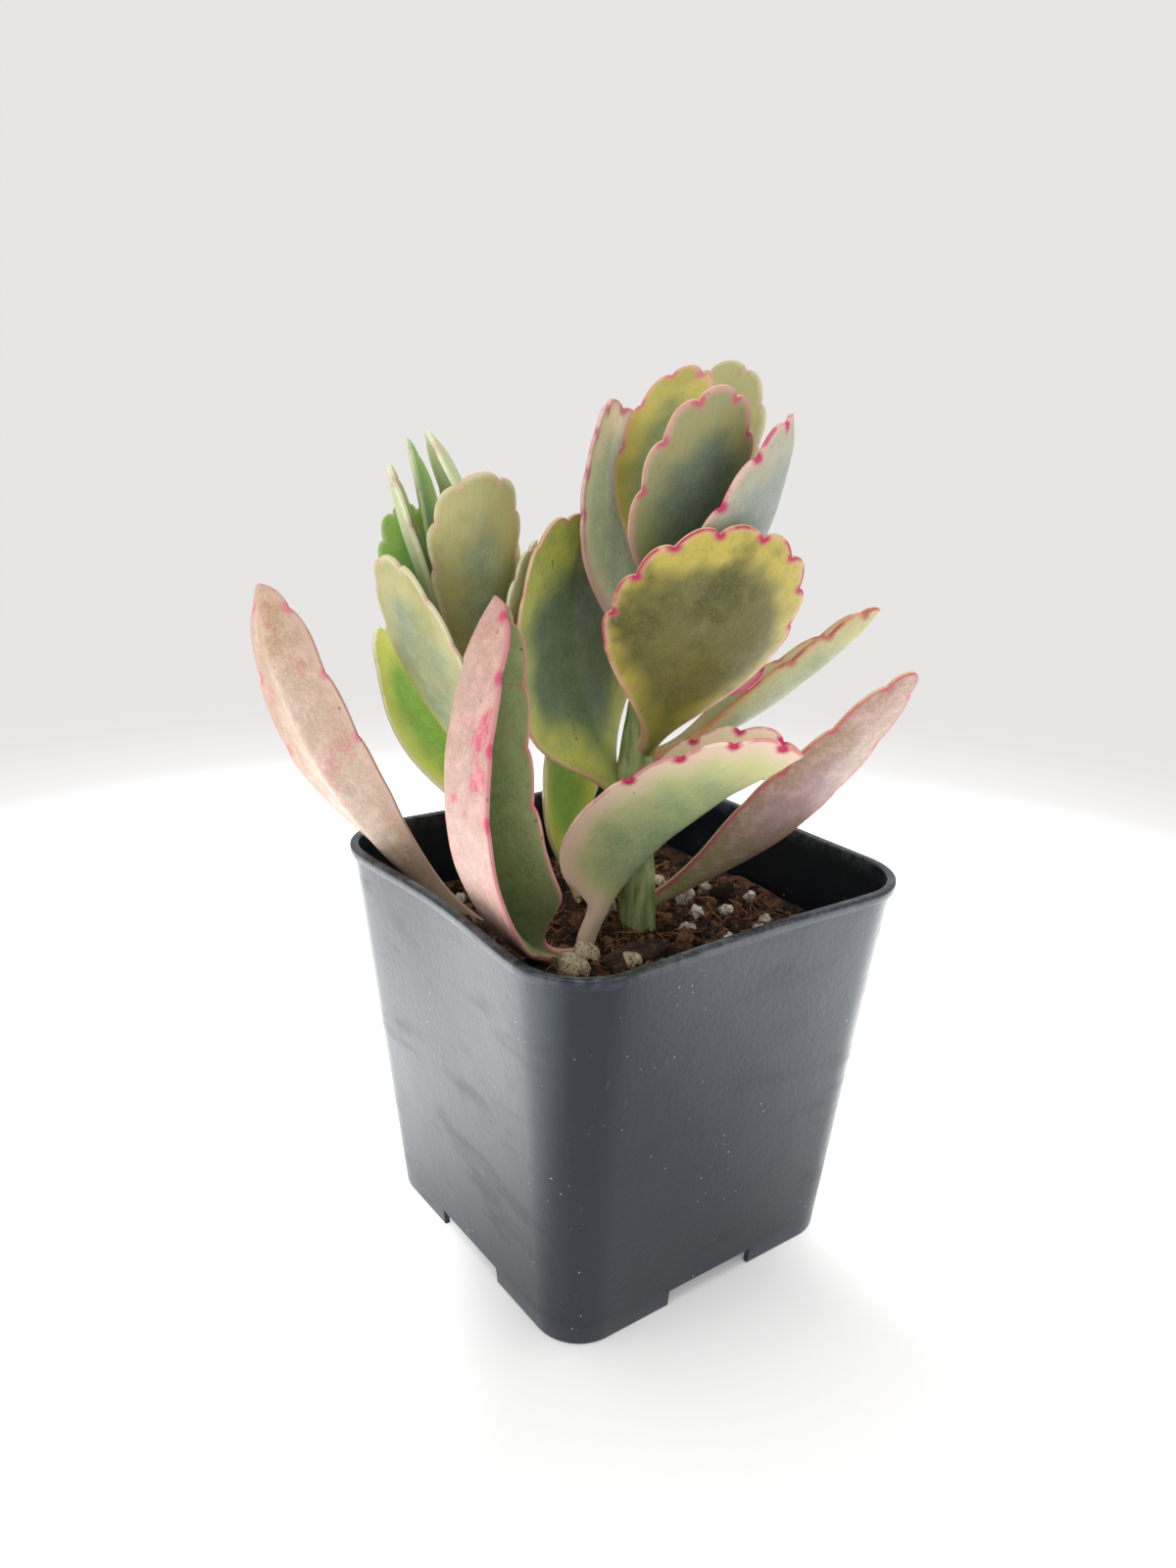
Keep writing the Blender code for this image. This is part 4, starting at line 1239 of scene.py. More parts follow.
    def build(self) -> None:
        """Models the bed and everything that lies on it, and dresses each."""
        rng = np.random.default_rng(self.seed)
        noise.seed_set(self.seed)
        bed = self.bed()
        finish_piece(bed, "mix", CoirFinish("coir_bed").build())
        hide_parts("potting_mix")
        loose = CoirFinish("coir_crumbs", (32, 23, 18), (116, 82, 60), lifted=0.9).build()
        for index in range(2):
            places = self.crumb_places(rng)
            lump = self.lump("crumb", 1, self.jagged, 3.0 * index)
            piece = scattered(f"crumbs_{index}", lump, places, rng.random(self.crumbs))
            shade(piece, self.crumb_crease)
            finish_piece(piece, "mix", loose)
        places = self.thread_places(rng)
        piece = scattered("coir_thread_tangle", self.thread(), places, rng.random(self.threads))
        strands = CoirFinish("coir_threads", (76, 50, 34), (160, 108, 70), (206, 154, 106), 1.2)
        shade(piece)
        finish_piece(piece, "mix", strands.build())
        white = StoneFinish("perlite_white", (204, 201, 192), (132, 118, 100))
        tan = StoneFinish("pumice_tan", (184, 172, 142), (118, 98, 72), 0.8)
        for name, rows, rough, finish in (
            ("perlite_grains", self.perlite, self.jagged, white),
            ("pumice_stones", self.pumice, self.lumpy, tan),
        ):
            places = [self.placed(x, y, size, self.stone_sink, rng) for x, y, size in rows]
            lump = self.lump(name + "_lump", 3, rough, float(len(rows)))
            piece = scattered(name, lump, places, rng.random(len(rows)))
            shade(piece)
            finish_piece(piece, "mix", finish.build())
        places = self.bark_places(rng)
        piece = scattered("bark_chips", self.lump("bark_lump", 3, self.even, 9.0), places, rng.random(len(places)))
        shade(piece)
        finish_piece(piece, "mix", CoirFinish("bark_brown", (36, 26, 20), (92, 70, 52), (126, 100, 76)).build())


# The stems


@dataclass
class Stem:
    """A fleshy stem, drawn through points up its axis, with a slight swelling and scar at each pair of leaves.

    Each knot is x, y, z and the radius there, in mm from the pot's centre. The joints are the heights of the scars,
    the scar is how tall one is, and the swelling is the part by which the stem is wider there.
    """

    name: str
    knots: tuple[tuple[float, float, float, float], ...]
    joints: tuple[float, ...]
    sides: int = 32
    levels: int = 110
    scar: float = 1.1
    swelling: float = 0.05

    def axis(self, parts: np.ndarray) -> np.ndarray:
        """Smooth values of place and radius.

        Args:
            parts: How far up the stem, from 0 to 1 of its knots.

        Returns:
            A row of x, y, z and radius for each part, in mm.
        """
        knots = np.array(self.knots)
        slopes = np.gradient(knots, axis=0)
        at = np.clip(parts, 0.0, 1.0) * (len(knots) - 1)
        index = np.minimum(at.astype(int), len(knots) - 2)
        t = (at - index)[:, None]
        first, second = knots[index], knots[index + 1]
        return (
            first * (1 + 2 * t) * (1 - t) ** 2
            + second * t**2 * (3 - 2 * t)
            + slopes[index] * t * (1 - t) ** 2
            - slopes[index + 1] * t**2 * (1 - t)
        )

    def build(self, material: bpy.types.Material) -> None:
        """Models and dresses the stem.

        Args:
            material: The stems' skin.
        """
        turn = np.linspace(0.0, FULL_TURN, self.sides + 1)
        round_about = np.column_stack([np.cos(turn), np.sin(turn), np.zeros(len(turn))])
        rings = []
        scars = []
        for x, y, z, radius in self.axis(np.linspace(0.0, 1.0, self.levels)):
            near = max(math.exp(-(((z - joint) / self.scar) ** 2)) for joint in self.joints)
            rings.append(np.array([x, y, z]) + round_about * radius * (1.0 + self.swelling * near))
            scars.append(np.full(len(turn), near))
        fields = {"scar": np.array([scars[0]] + scars + [scars[-1]])}
        stem = shaped_grid(self.name + "_skin", closed_tube(rings) * MM + CENTRE, fields)
        face_outwards(stem)
        shade(stem)
        finish_piece(stem, "stem", material)
        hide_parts(self.name)


STEMS = (
    Stem(
        "right_stem",
        (
            (3.0, -2.0, 41.0, 2.8), (3.0, -2.0, 52.0, 2.8), (2.6, -0.6, 73.0, 2.7),
            (4.4, -1.4, 88.0, 2.5), (6.4, -2.4, 100.0, 2.0), (7.6, -3.0, 106.0, 1.4),
        ),
        (58.0, 66.0, 75.0, 84.5, 94.0),
    ),
    Stem(
        "left_stem",
        (
            (-14.0, 8.5, 41.0, 2.7), (-14.0, 8.5, 52.0, 2.7), (-16.5, 9.3, 68.0, 2.6),
            (-18.6, 10.0, 82.0, 2.4), (-20.8, 11.2, 95.0, 1.8), (-22.2, 12.0, 102.0, 1.2),
        ),
        (57.0, 64.5, 72.0, 79.5, 86.0),
    ),
)


# The leaves

# Where a blade has points: how many steps there are on its plain part, the parts of a lobe from one notch to the
# next, how much of the last lobe there is before the tip, and the parts of its half width.
PLAIN_STEPS = 12
LOBE_PARTS = (0.0, 0.03, 0.08, 0.15, 0.24, 0.35, 0.47, 0.6, 0.73, 0.84, 0.92, 0.97)
LAST_LOBE = 0.5
HALF_PARTS = (0.0, 0.1, 0.25, 0.42, 0.58, 0.73, 0.85, 0.935, 0.98, 1.0)

# The finer steps along which an outline and a midrib are worked out before they are read.
OUTLINE_STEPS = 400
MIDRIB_STEPS = 80
PAST_TIP = 1.02

# How round the tip is, how a lobe leans forward and how full its crown is, and the first notch's part of the depth.
TIP_ROUND = 0.9
LOBE_LEAN = 1.5
LOBE_CROWN = 0.55
FIRST_NOTCH = 0.55

# How much faster the midrib runs than the margin, the thickness at the stalk and how it falls to this part of the
# length, and the size in mm of the waves in a blade.
MIDRIB_LEAD = 1.12
THICK_AT_STALK = 1.25
THICK_FALL = 0.6
FULL_FALL = 0.8
WAVE_SIZE = 7.0

# A cup smaller than this, in radians to the mm, is none.
LEAST_CURL = 1e-6


def nearest(points: np.ndarray, marks: np.ndarray) -> np.ndarray:
    """How far each point lies from the nearest of some marks."""
    return np.sqrt(((points[:, None] - marks[None]) ** 2).sum(-1)).min(1)


@dataclass
class Leaf:
    """One leaf: where its stalk starts, how its midrib runs, the shape of its blade and the skin of each side.

    Sizes are in millimetres and angles in degrees. The azimuth turns from +X towards +Y, rise is the slope at
    the stalk, and bend is added to it on the way to the tip. Fold lifts each half from the midrib, left and right
    as seen along the leaf, and cup curls it further up towards its margin. The kind is a label for its sort of leaf.
    """

    name: str
    kind: str
    upper: Tone
    under: Tone
    base: Triple
    azimuth: float
    rise: float
    bend: float
    length: float
    width: float
    roll: float = 0.0
    twist: float = 0.0
    sweep: float = 0.0
    fold: tuple[float, float] = (6.0, 6.0)
    cup: tuple[float, float] = (25.0, 25.0)
    widest: float = 0.62
    bend_power: float = 1.0
    wedge: float = 1.7
    stalk: float = 1.5
    stalk_part: float = 0.10
    notches: int = 4
    notch_depth: float = 0.9
    thickness: float = 2.0
    margin_start: float = 0.45
    spine_part: float = 0.86
    edge_thick: float = 0.55
    wave: float = 0.22

    def lobe(self) -> float:
        """The part of the margin's length that one lobe takes."""
        return (1.0 - self.margin_start) / (self.notches + LAST_LOBE)

    def columns(self) -> np.ndarray:
        """Where along the margin the blade has points.

        Returns:
            Parts of the margin's length, close together at the notches.
        """
        bare = [self.margin_start * step / PLAIN_STEPS for step in range(PLAIN_STEPS)]
        lobe, start = self.lobe(), self.margin_start
        scalloped = [start + lobe * (index + part) for index in range(self.notches) for part in LOBE_PARTS]
        last = [start + lobe * (self.notches + part) for part in LOBE_PARTS if part < LAST_LOBE]
        return np.array(bare + scalloped + last + [1.0])

    def plain_half(self) -> tuple[np.ndarray, np.ndarray]:
        """The outline of one half of the blade before its notches.

        Returns:
            The distance along the leaf and out from the midrib, in mm.
        """
        widest = self.widest * self.length
        stalk_end = self.stalk_part * self.length
        lower = np.linspace(0.0, widest, OUTLINE_STEPS)
        opening = np.clip((lower - stalk_end) / (widest - stalk_end), 0.0, 1.0)
        lower_out = self.stalk + (self.width / 2 - self.stalk) * np.sin(math.pi / 2 * opening) ** self.wedge
        turn = np.linspace(0.0, math.pi / 2, OUTLINE_STEPS)[1:]
        along = np.concatenate([lower, widest + (self.length - widest) * np.sin(turn)])
        return along, np.concatenate([lower_out, self.width / 2 * np.cos(turn) ** TIP_ROUND])

    def outline(self) -> tuple[np.ndarray, np.ndarray, np.ndarray]:
        """The flat outline of one half of the blade, with its notches.

        Returns:
            Parts of its length, and at each the distance along the leaf and out from the midrib, in mm.
        """
        along, out = self.plain_half()
        length = np.concatenate([[0.0], np.cumsum(np.hypot(np.diff(along), np.diff(out)))])
        start = self.margin_start * length[-1]
        place = (length - start) / ((length[-1] - start) / (self.notches + LAST_LOBE))
        inside = np.where(place >= self.notches, place - self.notches, place - np.floor(place))
        skewed = np.where(place >= self.notches, inside, inside**LOBE_LEAN)
        crown = np.abs(np.sin(math.pi * np.clip(skewed, 0.0, 1.0))) ** LOBE_CROWN
        growing = FIRST_NOTCH + (1.0 - FIRST_NOTCH) * np.clip(place / self.notches, 0.0, 1.0)
        depth = np.where(place < 0.0, 0.0, self.notch_depth * growing * (1.0 - crown))
        depth *= np.clip(place / 0.5, 0.0, 1.0)
        slope_along, slope_out = np.gradient(along, length), np.gradient(out, length)
        along = along + slope_out * depth
        out = np.maximum(out - slope_along * depth, 0.0)
        out[-1] = 0.0
        return length / length[-1], along, out

    def midrib(self) -> tuple[np.ndarray, np.ndarray, np.ndarray, np.ndarray]:
        """The midrib.

        Returns:
            Parts of its length, and at each its place and the directions up from the blade and to its left.
        """
        steps = np.linspace(0.0, PAST_TIP, MIDRIB_STEPS)
        azimuth = np.radians(self.azimuth + self.sweep * steps)
        slope = np.radians(self.rise + self.bend * steps**self.bend_power)
        along = np.stack([np.cos(slope) * np.cos(azimuth), np.cos(slope) * np.sin(azimuth), np.sin(slope)], 1)
        up = np.stack([-np.sin(slope) * np.cos(azimuth), -np.sin(slope) * np.sin(azimuth), np.cos(slope)], 1)
        left = np.cross(up, along)
        roll = np.radians(self.roll + self.twist * steps)[:, None]
        up, left = up * np.cos(roll) - left * np.sin(roll), left * np.cos(roll) + up * np.sin(roll)
        path = np.cumsum((along[1:] + along[:-1]) / 2 * (steps[1] - steps[0]) * self.length, axis=0)
        path = np.vstack([np.zeros(3), path]) + np.array(self.base)
        return steps, path, up, left

    def raised(self, out: np.ndarray, left_half: bool) -> tuple[np.ndarray, np.ndarray]:
        """How one half of the blade folds and cups.

        Args:
            out: How far points lie out from the midrib along the blade, in mm.
            left_half: Whether it is the left half.

        Returns:
            How far they lie out from the midrib once it is folded and cupped, and how far up, in mm.
        """
        half = 0 if left_half else 1
        fold = math.radians(self.fold[half])
        curl = math.radians(self.cup[half]) / (self.width / 2)
        if abs(curl) <= LEAST_CURL:
            return out * math.cos(fold), out * math.sin(fold)
        across = (np.sin(fold + curl * out) - math.sin(fold)) / curl
        return across, (math.cos(fold) - np.cos(fold + curl * out)) / curl

    def sheet(self) -> tuple[np.ndarray, dict[str, np.ndarray]]:
        """The blade's middle surface.

        Returns:
            Rows of points in mm from the right margin to the left one, and the numbers that the skin reads.
        """
        at = self.columns()
        lengths, dense_along, dense_out = self.outline()
        along, out = np.interp(at, lengths, dense_along), np.interp(at, lengths, dense_out)
        steps, *midrib = self.midrib()
        spine = np.minimum(at * MIDRIB_LEAD, 1.0) * self.spine_part * self.length
        spine[0] = along[0]
        margin = np.column_stack([dense_along, dense_out])
        notch_at = [self.margin_start + self.lobe() * index for index in range(1, self.notches + 1)]
        notches = np.column_stack([np.interp(notch_at, lengths, values) for values in (dense_along, dense_out)])
        rows = []
        fields: dict[str, list[np.ndarray]] = {"edge": [], "notch": [], "along": [], "across": [], "thick": []}
        for signed in [-part for part in HALF_PARTS[:0:-1]] + list(HALF_PARTS):
            part, side = abs(signed), 1 if signed > 0 else -1
            x, y = spine + (along - spine) * part, out * part
            across, lift = self.raised(y, signed > 0)
            here = x / self.length
            frames = [np.stack([np.interp(here, steps, row[:, k]) for k in range(3)], 1) for row in midrib]
            centre, upward, leftward = frames
            point = centre + leftward * (side * across)[:, None] + upward * lift[:, None]
            ripple = np.array([noise.noise(Vector(spot) / WAVE_SIZE) for spot in point]) * self.wave
            point = point + upward * (ripple * np.clip(here * 3.0, 0.0, 1.0))[:, None]
            flat = np.column_stack([x, y])
            near = np.zeros(len(flat)) if part == 1.0 else nearest(flat, margin)
            thick = self.thickness + (self.edge_thick - self.thickness) * part**2
            thick = thick * (THICK_AT_STALK - THICK_FALL * np.clip(at / FULL_FALL, 0.0, 1.0))
            values = (near, nearest(flat, notches), here, side * y / self.width, np.maximum(thick, self.edge_thick))
            rows.append(point)
            for key, value in zip(fields, values):
                fields[key].append(value)
        return np.array(rows), {key: np.array(value) for key, value in fields.items()}

    def thicken(self, leaf: bpy.types.Object, greatest: float) -> None:
        """Adds what gives the sheet its thickness, point by point from its attribute thickness, and softens it.

        Args:
            leaf: The sheet.
            greatest: The greatest thickness, in mm, for which the attribute is 1.
        """
        values = np.empty(len(leaf.data.vertices), np.float32)
        leaf.data.attributes["thickness"].data.foreach_get("value", values)
        group = leaf.vertex_groups.new(name="thickness_group")
        for index, value in enumerate(values):
            group.add([index], float(value), "REPLACE")
        leaf.data.attributes.remove(leaf.data.attributes["thickness"])
        solid = leaf.modifiers.new("solid", "SOLIDIFY")
        solid.thickness = greatest * MM
        solid.offset = 0.0
        solid.vertex_group = group.name
        solid.material_offset = 1
        soft = leaf.modifiers.new("soft", "SUBSURF")
        soft.levels = soft.render_levels = 1

    def face_up(self, leaf: bpy.types.Object) -> None:
        """Turns the sheet's faces to the blade's upper side, so that each side gets its own skin.

        Args:
            leaf: The sheet.
        """
        steps, path, up, _ = self.midrib()
        middle = len(steps) // 2
        spot = Vector(path[middle]) * MM + ORIGIN_SHIFT
        closest = min(leaf.data.polygons, key=lambda face: (face.center - spot).length_squared)
        if Vector(up[middle]).dot(closest.normal) < 0.0:
            leaf.data.flip_normals()

    def build(self, skins: dict[Tone, bpy.types.Material]) -> None:
        """Models the leaf as a thick blade with a soft edge and dresses both sides.

        Args:
            skins: The material of each tone.
        """
        rows, fields = self.sheet()
        thick = fields.pop("thick")
        greatest = float(thick.max())
        fields["thickness"] = thick / greatest
        leaf = shaped_grid(self.name + "_blade", rows * MM + CENTRE, fields)
        self.thicken(leaf, greatest)
        self.face_up(leaf)
        for tone in (self.upper, self.under):
            leaf.data.materials.append(skins[tone])
        apply_all(leaf)
        leaf.vertex_groups.clear()
        shade(leaf)
        finish_piece(leaf, self.kind)
        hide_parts(self.name)


LEAVES = (
    Leaf(
        "right_bud_right_leaf", kind="leaf_green", upper=Tone.FRESH, under=Tone.PALE_GREY,
        base=(7.0, -2.7, 103.1), azimuth=-41, rise=66, bend=-2, length=15, width=7, roll=-1, fold=(12, 13),
        cup=(29, 29), stalk=1, notches=2, notch_depth=0.3, thickness=1.4,
    ),
    Leaf(
        "right_bud_left_leaf", kind="leaf_green", upper=Tone.FRESH, under=Tone.PALE_GREY,
        base=(6.8, -2.6, 102.2), azimuth=142, rise=78, bend=6, length=15, width=7, roll=-1, fold=(11, 15),
        cup=(29, 30), stalk=1, notches=2, notch_depth=0.3, thickness=1.4,
    ),
    Leaf(
        "right_head_back_leaf", kind="leaf_olive", upper=Tone.SAGE, under=Tone.SAGE, base=(6.2, -2.3, 98.7),
        azimuth=28, rise=51, bend=15, length=40.4, width=16.4, roll=-1, fold=(1, 1), cup=(11, 13), widest=0.66,
        notches=3, notch_depth=1,
    ),
    Leaf(
        "right_head_left_leaf", kind="leaf_olive", upper=Tone.OLIVE_YELLOW, under=Tone.OLIVE_YELLOW,
        base=(6.0, -2.2, 97.4), azimuth=-164, rise=61, bend=71, length=36.8, width=15.2, roll=6, twist=-18,
        fold=(2, -12), cup=(25, 11), widest=0.61, notches=3, notch_depth=1.1,
    ),
    Leaf(
        "right_head_front_leaf", kind="leaf_olive", upper=Tone.GLAUCOUS, under=Tone.GREY_UNDER,
        base=(5.4, -1.9, 94.2), azimuth=-110, rise=57, bend=11, length=39.4, width=18.6, roll=15, twist=-9,
        fold=(12, -4), cup=(9, 18), widest=0.54, stalk=1.4, notches=3, notch_depth=1.2, thickness=1.8,
    ),
    Leaf(
        "right_head_right_leaf", kind="leaf_grey", upper=Tone.PALE_GREY, under=Tone.PALE_GREY,
        base=(5.5, -1.9, 94.5), azimuth=-65, rise=30, bend=62, length=37.6, width=30.6, roll=16, twist=4,
        fold=(-4, 4), cup=(35, 51), widest=0.54, stalk=1.3, notches=3, notch_depth=1.2, thickness=1.8,
    ),
    Leaf(
        "right_outer_left_leaf", kind="leaf_grey", upper=Tone.PINK_EDGED_PAINTED_LIGHT, under=Tone.GREY_UNDER,
        base=(4.4, -1.4, 87.6), azimuth=120, rise=61, bend=37, length=41, width=19.8, roll=-33, twist=35,
        fold=(2, 13), cup=(22, 43), widest=0.65, notch_depth=1.1,
    ),
    Leaf(
        "right_broad_back_leaf", kind="leaf_olive", upper=Tone.ROSE, under=Tone.OLIVE_YELLOW,
        base=(3.9, -1.2, 83.7), azimuth=-16, rise=33, bend=31, length=23.6, width=19, roll=28, twist=6,
        fold=(-2, -1), cup=(-3, -6), widest=0.55,
    ),
    Leaf(
        "right_broad_front_leaf", kind="leaf_olive", upper=Tone.GLAUCOUS, under=Tone.OLIVE,
        base=(2.9, -0.8, 75.9), azimuth=-93, rise=52, bend=16, length=42.4, width=29, roll=-16, fold=(-4, -8),
        cup=(28, 27), widest=0.63, notch_depth=1.4,
    ),
    Leaf(
        "right_folded_leaf", kind="leaf_pink", upper=Tone.SAFFRON, under=Tone.SAFFRON, base=(2.9, -0.7, 75.4),
        azimuth=-25, rise=15, bend=34, length=43.6, width=13.4, roll=-4, twist=-21, fold=(45, 30), cup=(-1, 21),
        widest=0.51, notches=3, notch_depth=1,
    ),
    Leaf(
        "right_broad_left_leaf", kind="leaf_green", upper=Tone.GLAUCOUS, under=Tone.OLIVE,
        base=(2.7, -1.0, 67.3), azimuth=143, rise=51, bend=56, length=47.2, width=31.8, roll=-48, twist=13,
        fold=(-8, -16), cup=(47, 35), widest=0.54, stalk=1.3, notch_depth=1.1,
    ),
    Leaf(
        "right_hidden_back_leaf", kind="leaf_olive", upper=Tone.GLAUCOUS, under=Tone.OLIVE_YELLOW,
        base=(4.1, -1.3, 85.5), azimuth=37, rise=56, bend=5, length=33, width=20, roll=6, fold=(14, 9),
        cup=(45, 25), notches=3,
    ),
    Leaf(
        "left_bud_front_leaf", kind="leaf_green", upper=Tone.FRESH, under=Tone.PALE_GREEN,
        base=(-21.6, 11.7, 99.1), azimuth=-127, rise=65, bend=-2, length=12, width=4.6, fold=(10, 7),
        cup=(30, 28), stalk=0.9, notches=2, notch_depth=0.2, thickness=1.3,
    ),
    Leaf(
        "left_bud_back_leaf", kind="leaf_green", upper=Tone.FRESH, under=Tone.PALE_GREEN,
        base=(-20.9, 11.2, 95.3), azimuth=24, rise=83, bend=3, length=11, width=4.6, roll=18, twist=-7,
        fold=(16, 19), cup=(53, 35), stalk=0.9, notches=2, notch_depth=0.2, thickness=1.3,
    ),
    Leaf(
        "left_young_right_leaf", kind="leaf_grey", upper=Tone.PALE_GREEN, under=Tone.PALE_GREEN,
        base=(-20.4, 11.0, 92.9), azimuth=-9, rise=65, bend=67, length=31.8, width=12.6, roll=4, twist=-14,
        fold=(5, 6), cup=(22, 26), widest=0.65, stalk=1, notches=2, notch_depth=0.5, thickness=1.5,
    ),
    Leaf(
        "left_young_back_leaf", kind="leaf_green", upper=Tone.FRESH, under=Tone.PALE_GREEN,
        base=(-20.8, 11.2, 94.8), azimuth=102, rise=68, bend=3, length=28.2, width=9, roll=16, twist=27,
        cup=(18, 18), stalk=1, notches=2, notch_depth=0.5, thickness=1.5,
    ),
    Leaf(
        "left_young_front_leaf", kind="leaf_grey", upper=Tone.PALE_GREEN, under=Tone.PALE_GREEN,
        base=(-20.2, 10.9, 91.5), azimuth=144, rise=60, bend=20, length=28.4, width=7.4, roll=6, twist=-3,
        fold=(8, 8), cup=(30, 30), widest=0.6, stalk=1, notches=2, notch_depth=0.4, thickness=1.4,
    ),
    Leaf(
        "left_outer_back_leaf", kind="leaf_green", upper=Tone.FRESH, under=Tone.PALE_GREEN,
        base=(-20.0, 10.8, 90.2), azimuth=106, rise=50, bend=24, length=25.4, width=11.2, roll=-14, twist=-20,
        fold=(-22, -6), cup=(11, 18), widest=0.61, notches=3,
    ),
    Leaf(
        "left_right_leaf", kind="leaf_pink", upper=Tone.PALE_GREEN, under=Tone.PALE_GREEN,
        base=(-18.2, 9.9, 79.3), azimuth=-29, rise=56, bend=38, length=30.6, width=17.6, roll=-11, twist=-10,
        fold=(8, -2), cup=(42, 28), widest=0.59, notches=3,
    ),
    Leaf(
        "left_broad_front_leaf", kind="leaf_grey", upper=Tone.GLAUCOUS, under=Tone.SAGE,
        base=(-18.2, 9.9, 79.5), azimuth=-119, rise=86, bend=-24, length=40.2, width=14, roll=24, twist=-3,
        fold=(4, 6), cup=(24, 27), widest=0.75, stalk=1.3, notches=3, notch_depth=1,
    ),
    Leaf(
        "left_broad_left_leaf", kind="leaf_grey", upper=Tone.SAGE, under=Tone.SAGE, base=(-17.2, 9.5, 72.4),
        azimuth=172, rise=63, bend=9, length=37.2, width=23.2, roll=8, twist=-10, fold=(6, -3), cup=(-1, 2),
        widest=0.63, notches=3, notch_depth=1,
    ),
    Leaf(
        "left_lower_back_leaf", kind="leaf_green", upper=Tone.FRESH_PAINTED_LIGHT, under=Tone.OLIVE_YELLOW,
        base=(-16.0, 9.1, 64.8), azimuth=99, rise=29, bend=39, length=38.2, width=24.2, roll=-15, twist=30,
        fold=(5, -2), cup=(45, 33), widest=0.74,
    ),
    Leaf(
        "left_hidden_back_leaf", kind="leaf_grey", upper=Tone.GLAUCOUS, under=Tone.PALE_GREEN,
        base=(-19.1, 10.3, 85.0), azimuth=46, rise=59, bend=16, length=28.2, width=16.6, roll=-9, twist=-3,
        fold=(6, 12), cup=(25, 34), notches=3,
    ),
    Leaf(
        "low_folded_front_leaf", kind="leaf_olive", upper=Tone.CREAMY, under=Tone.CREAMY,
        base=(-6.5, -1.9, 47.6), azimuth=-64, rise=88, bend=-57, length=46.8, width=24.4, roll=-3, twist=21,
        sweep=17, fold=(50, 77), cup=(-13, -7), widest=0.45, bend_power=0.45, wedge=0.3, stalk=1.9,
        stalk_part=0.17, notch_depth=1.1,
    ),
    Leaf(
        "low_right_leaf", kind="leaf_pink", upper=Tone.GLAUCOUS, under=Tone.MAUVE, base=(3.6, 0.5, 50.4),
        azimuth=-58, rise=36, bend=23, length=58.4, width=13.4, roll=-47, twist=22, fold=(-1, 8), cup=(4, 10),
        widest=0.59, notches=3,
    ),
    Leaf(
        "low_back_leaf", kind="leaf_green", upper=Tone.FRESH_PAINTED_LIGHT, under=Tone.GLAUCOUS, base=(0.2, 8.6, 50.3),
        azimuth=131, rise=65, bend=40, length=34.8, width=18.8, roll=-17, twist=1, fold=(4, 4), cup=(35, 35),
    ),
    Leaf(
        "low_pink_front_leaf", kind="leaf_pink", upper=Tone.PINK, under=Tone.DARK_GREEN,
        base=(-9.0, -4.3, 48.5), azimuth=174, rise=-14, bend=137, length=66.8, width=27.6, roll=-35, twist=1,
        sweep=5, fold=(44, 93), cup=(-23, 26), widest=0.34, bend_power=0.55, stalk=1.9,
    ),
    Leaf(
        "low_far_left_leaf", kind="leaf_pink", upper=Tone.PEACH, under=Tone.PEACH, base=(-13.2, 12.9, 45.1),
        azimuth=159, rise=40, bend=49, length=68, width=16.6, roll=16, twist=10, sweep=-1, fold=(50, 21),
        cup=(-14, -55), widest=0.61, bend_power=1.45, notches=3, notch_depth=0.7,
    ),
)


# The studio


@dataclass(frozen=True)
class Lamp:
    """A soft square lamp that faces the middle of the plant, with its side in metres and its power in watts."""

    name: str
    place: Triple
    size: float
    watts: float
    aim: Triple = (0.0, 0.0, 0.06)

    def build(self) -> None:
        """Hangs the lamp and turns it to what it lights."""
        deselect()
        bpy.ops.object.light_add(type="AREA", location=self.place)
        lamp = bpy.context.active_object
        lamp.name = self.name
        lamp.data.size = self.size
        lamp.data.energy = self.watts
        lamp.rotation_euler = (Vector(self.place) - Vector(self.aim)).to_track_quat("Z", "Y").to_euler()


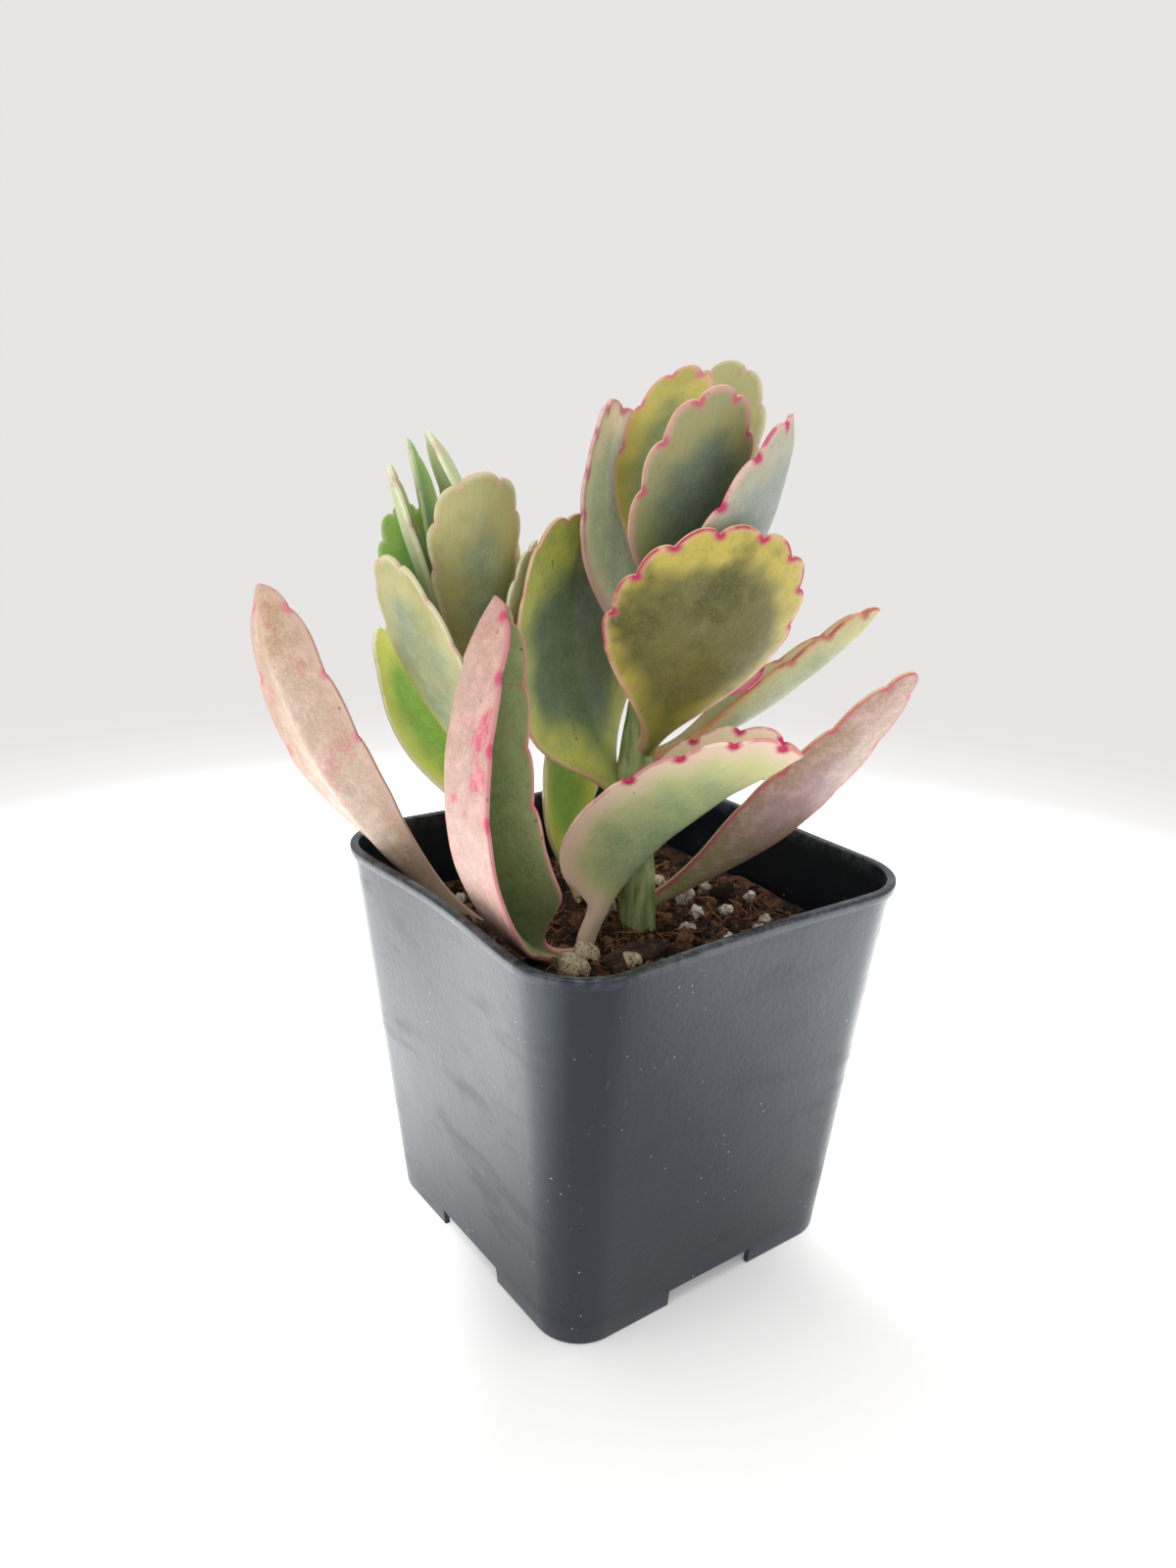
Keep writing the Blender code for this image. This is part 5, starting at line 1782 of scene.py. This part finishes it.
@dataclass
class Studio:
    """The white floor, the soft lights and the camera that sees the plant as the photograph does.

    The eye, the floor's width and the nearest thing seen are in metres. The camera's turn from +Y, its look down
    and its tilt are in degrees, and its lens and sensor in mm.
    """

    eye: Triple = (-0.09855, -0.13322, 0.12697)
    turn: float = -36.25
    down: float = 18.1
    tilt: float = 1.35
    lens: float = 27.0
    sensor: float = 36.0
    nearest_seen: float = 0.005
    floor_width: float = 12.0
    lamps: tuple[Lamp, ...] = (
        Lamp("key_left", (-0.6, 0.1, 0.3), 0.5, 0.55),
        Lamp("top", (0.0, 0.0, 0.8), 0.8, 2.0),
        Lamp("fill_front", (0.1, -0.7, 0.35), 0.5, 0.4),
    )

    def floor(self) -> None:
        """A wide white floor."""
        deselect()
        bpy.ops.mesh.primitive_grid_add(x_subdivisions=8, y_subdivisions=8, size=self.floor_width)
        floor = rename(bpy.context.active_object, "studio_floor")
        floor.data.materials.append(SweepFinish().build())

    def camera(self) -> None:
        """The camera, placed and turned as in the photograph."""
        deselect()
        bpy.ops.object.camera_add(location=self.eye)
        camera = bpy.context.active_object
        turn = Matrix.Rotation(math.radians(self.turn), 3, "Z")
        tilt = Matrix.Rotation(math.radians(90.0 - self.down), 3, "X")
        roll = Matrix.Rotation(math.radians(self.tilt), 3, "Z")
        camera.rotation_euler = (turn @ tilt @ roll).to_euler()
        camera.data.lens = self.lens
        camera.data.sensor_fit = "AUTO"
        camera.data.sensor_width = self.sensor
        camera.data.clip_start = self.nearest_seen
        bpy.context.scene.camera = camera

    def light(self) -> None:
        """A bright even room, a large soft key from the left, a top light and a weak fill."""
        world = bpy.data.worlds.new("studio_room")
        world.use_nodes = True
        ground = world.node_tree.nodes["Background"]
        ground.inputs["Color"].default_value = linear(SweepFinish.room)
        ground.inputs["Strength"].default_value = 1.0
        bpy.context.scene.world = world
        for lamp in self.lamps:
            lamp.build()
        view = bpy.context.scene.view_settings
        view.view_transform = "Standard"
        view.look = "None"
        view.exposure = 0.0
        view.gamma = 1.0

    def build(self) -> None:
        """Sets up the floor, the camera and the lights."""
        self.floor()
        self.camera()
        self.light()


def main() -> None:
    """Builds the pot, the mix, the stems and the leaves in order, then the studio."""
    logging.basicConfig(level=logging.INFO, format="%(message)s")
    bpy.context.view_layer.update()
    pot = Pot()
    pot.build()
    PottingMix(pot).build()
    stem_skin = StemFinish().build()
    for stem in STEMS:
        stem.build(stem_skin)
    skins = {tone: tone.value.build("skin_" + tone.name.lower()) for tone in Tone}
    for leaf in LEAVES:
        leaf.build(skins)
    Studio().build()


if __name__ == "__main__":
    main()
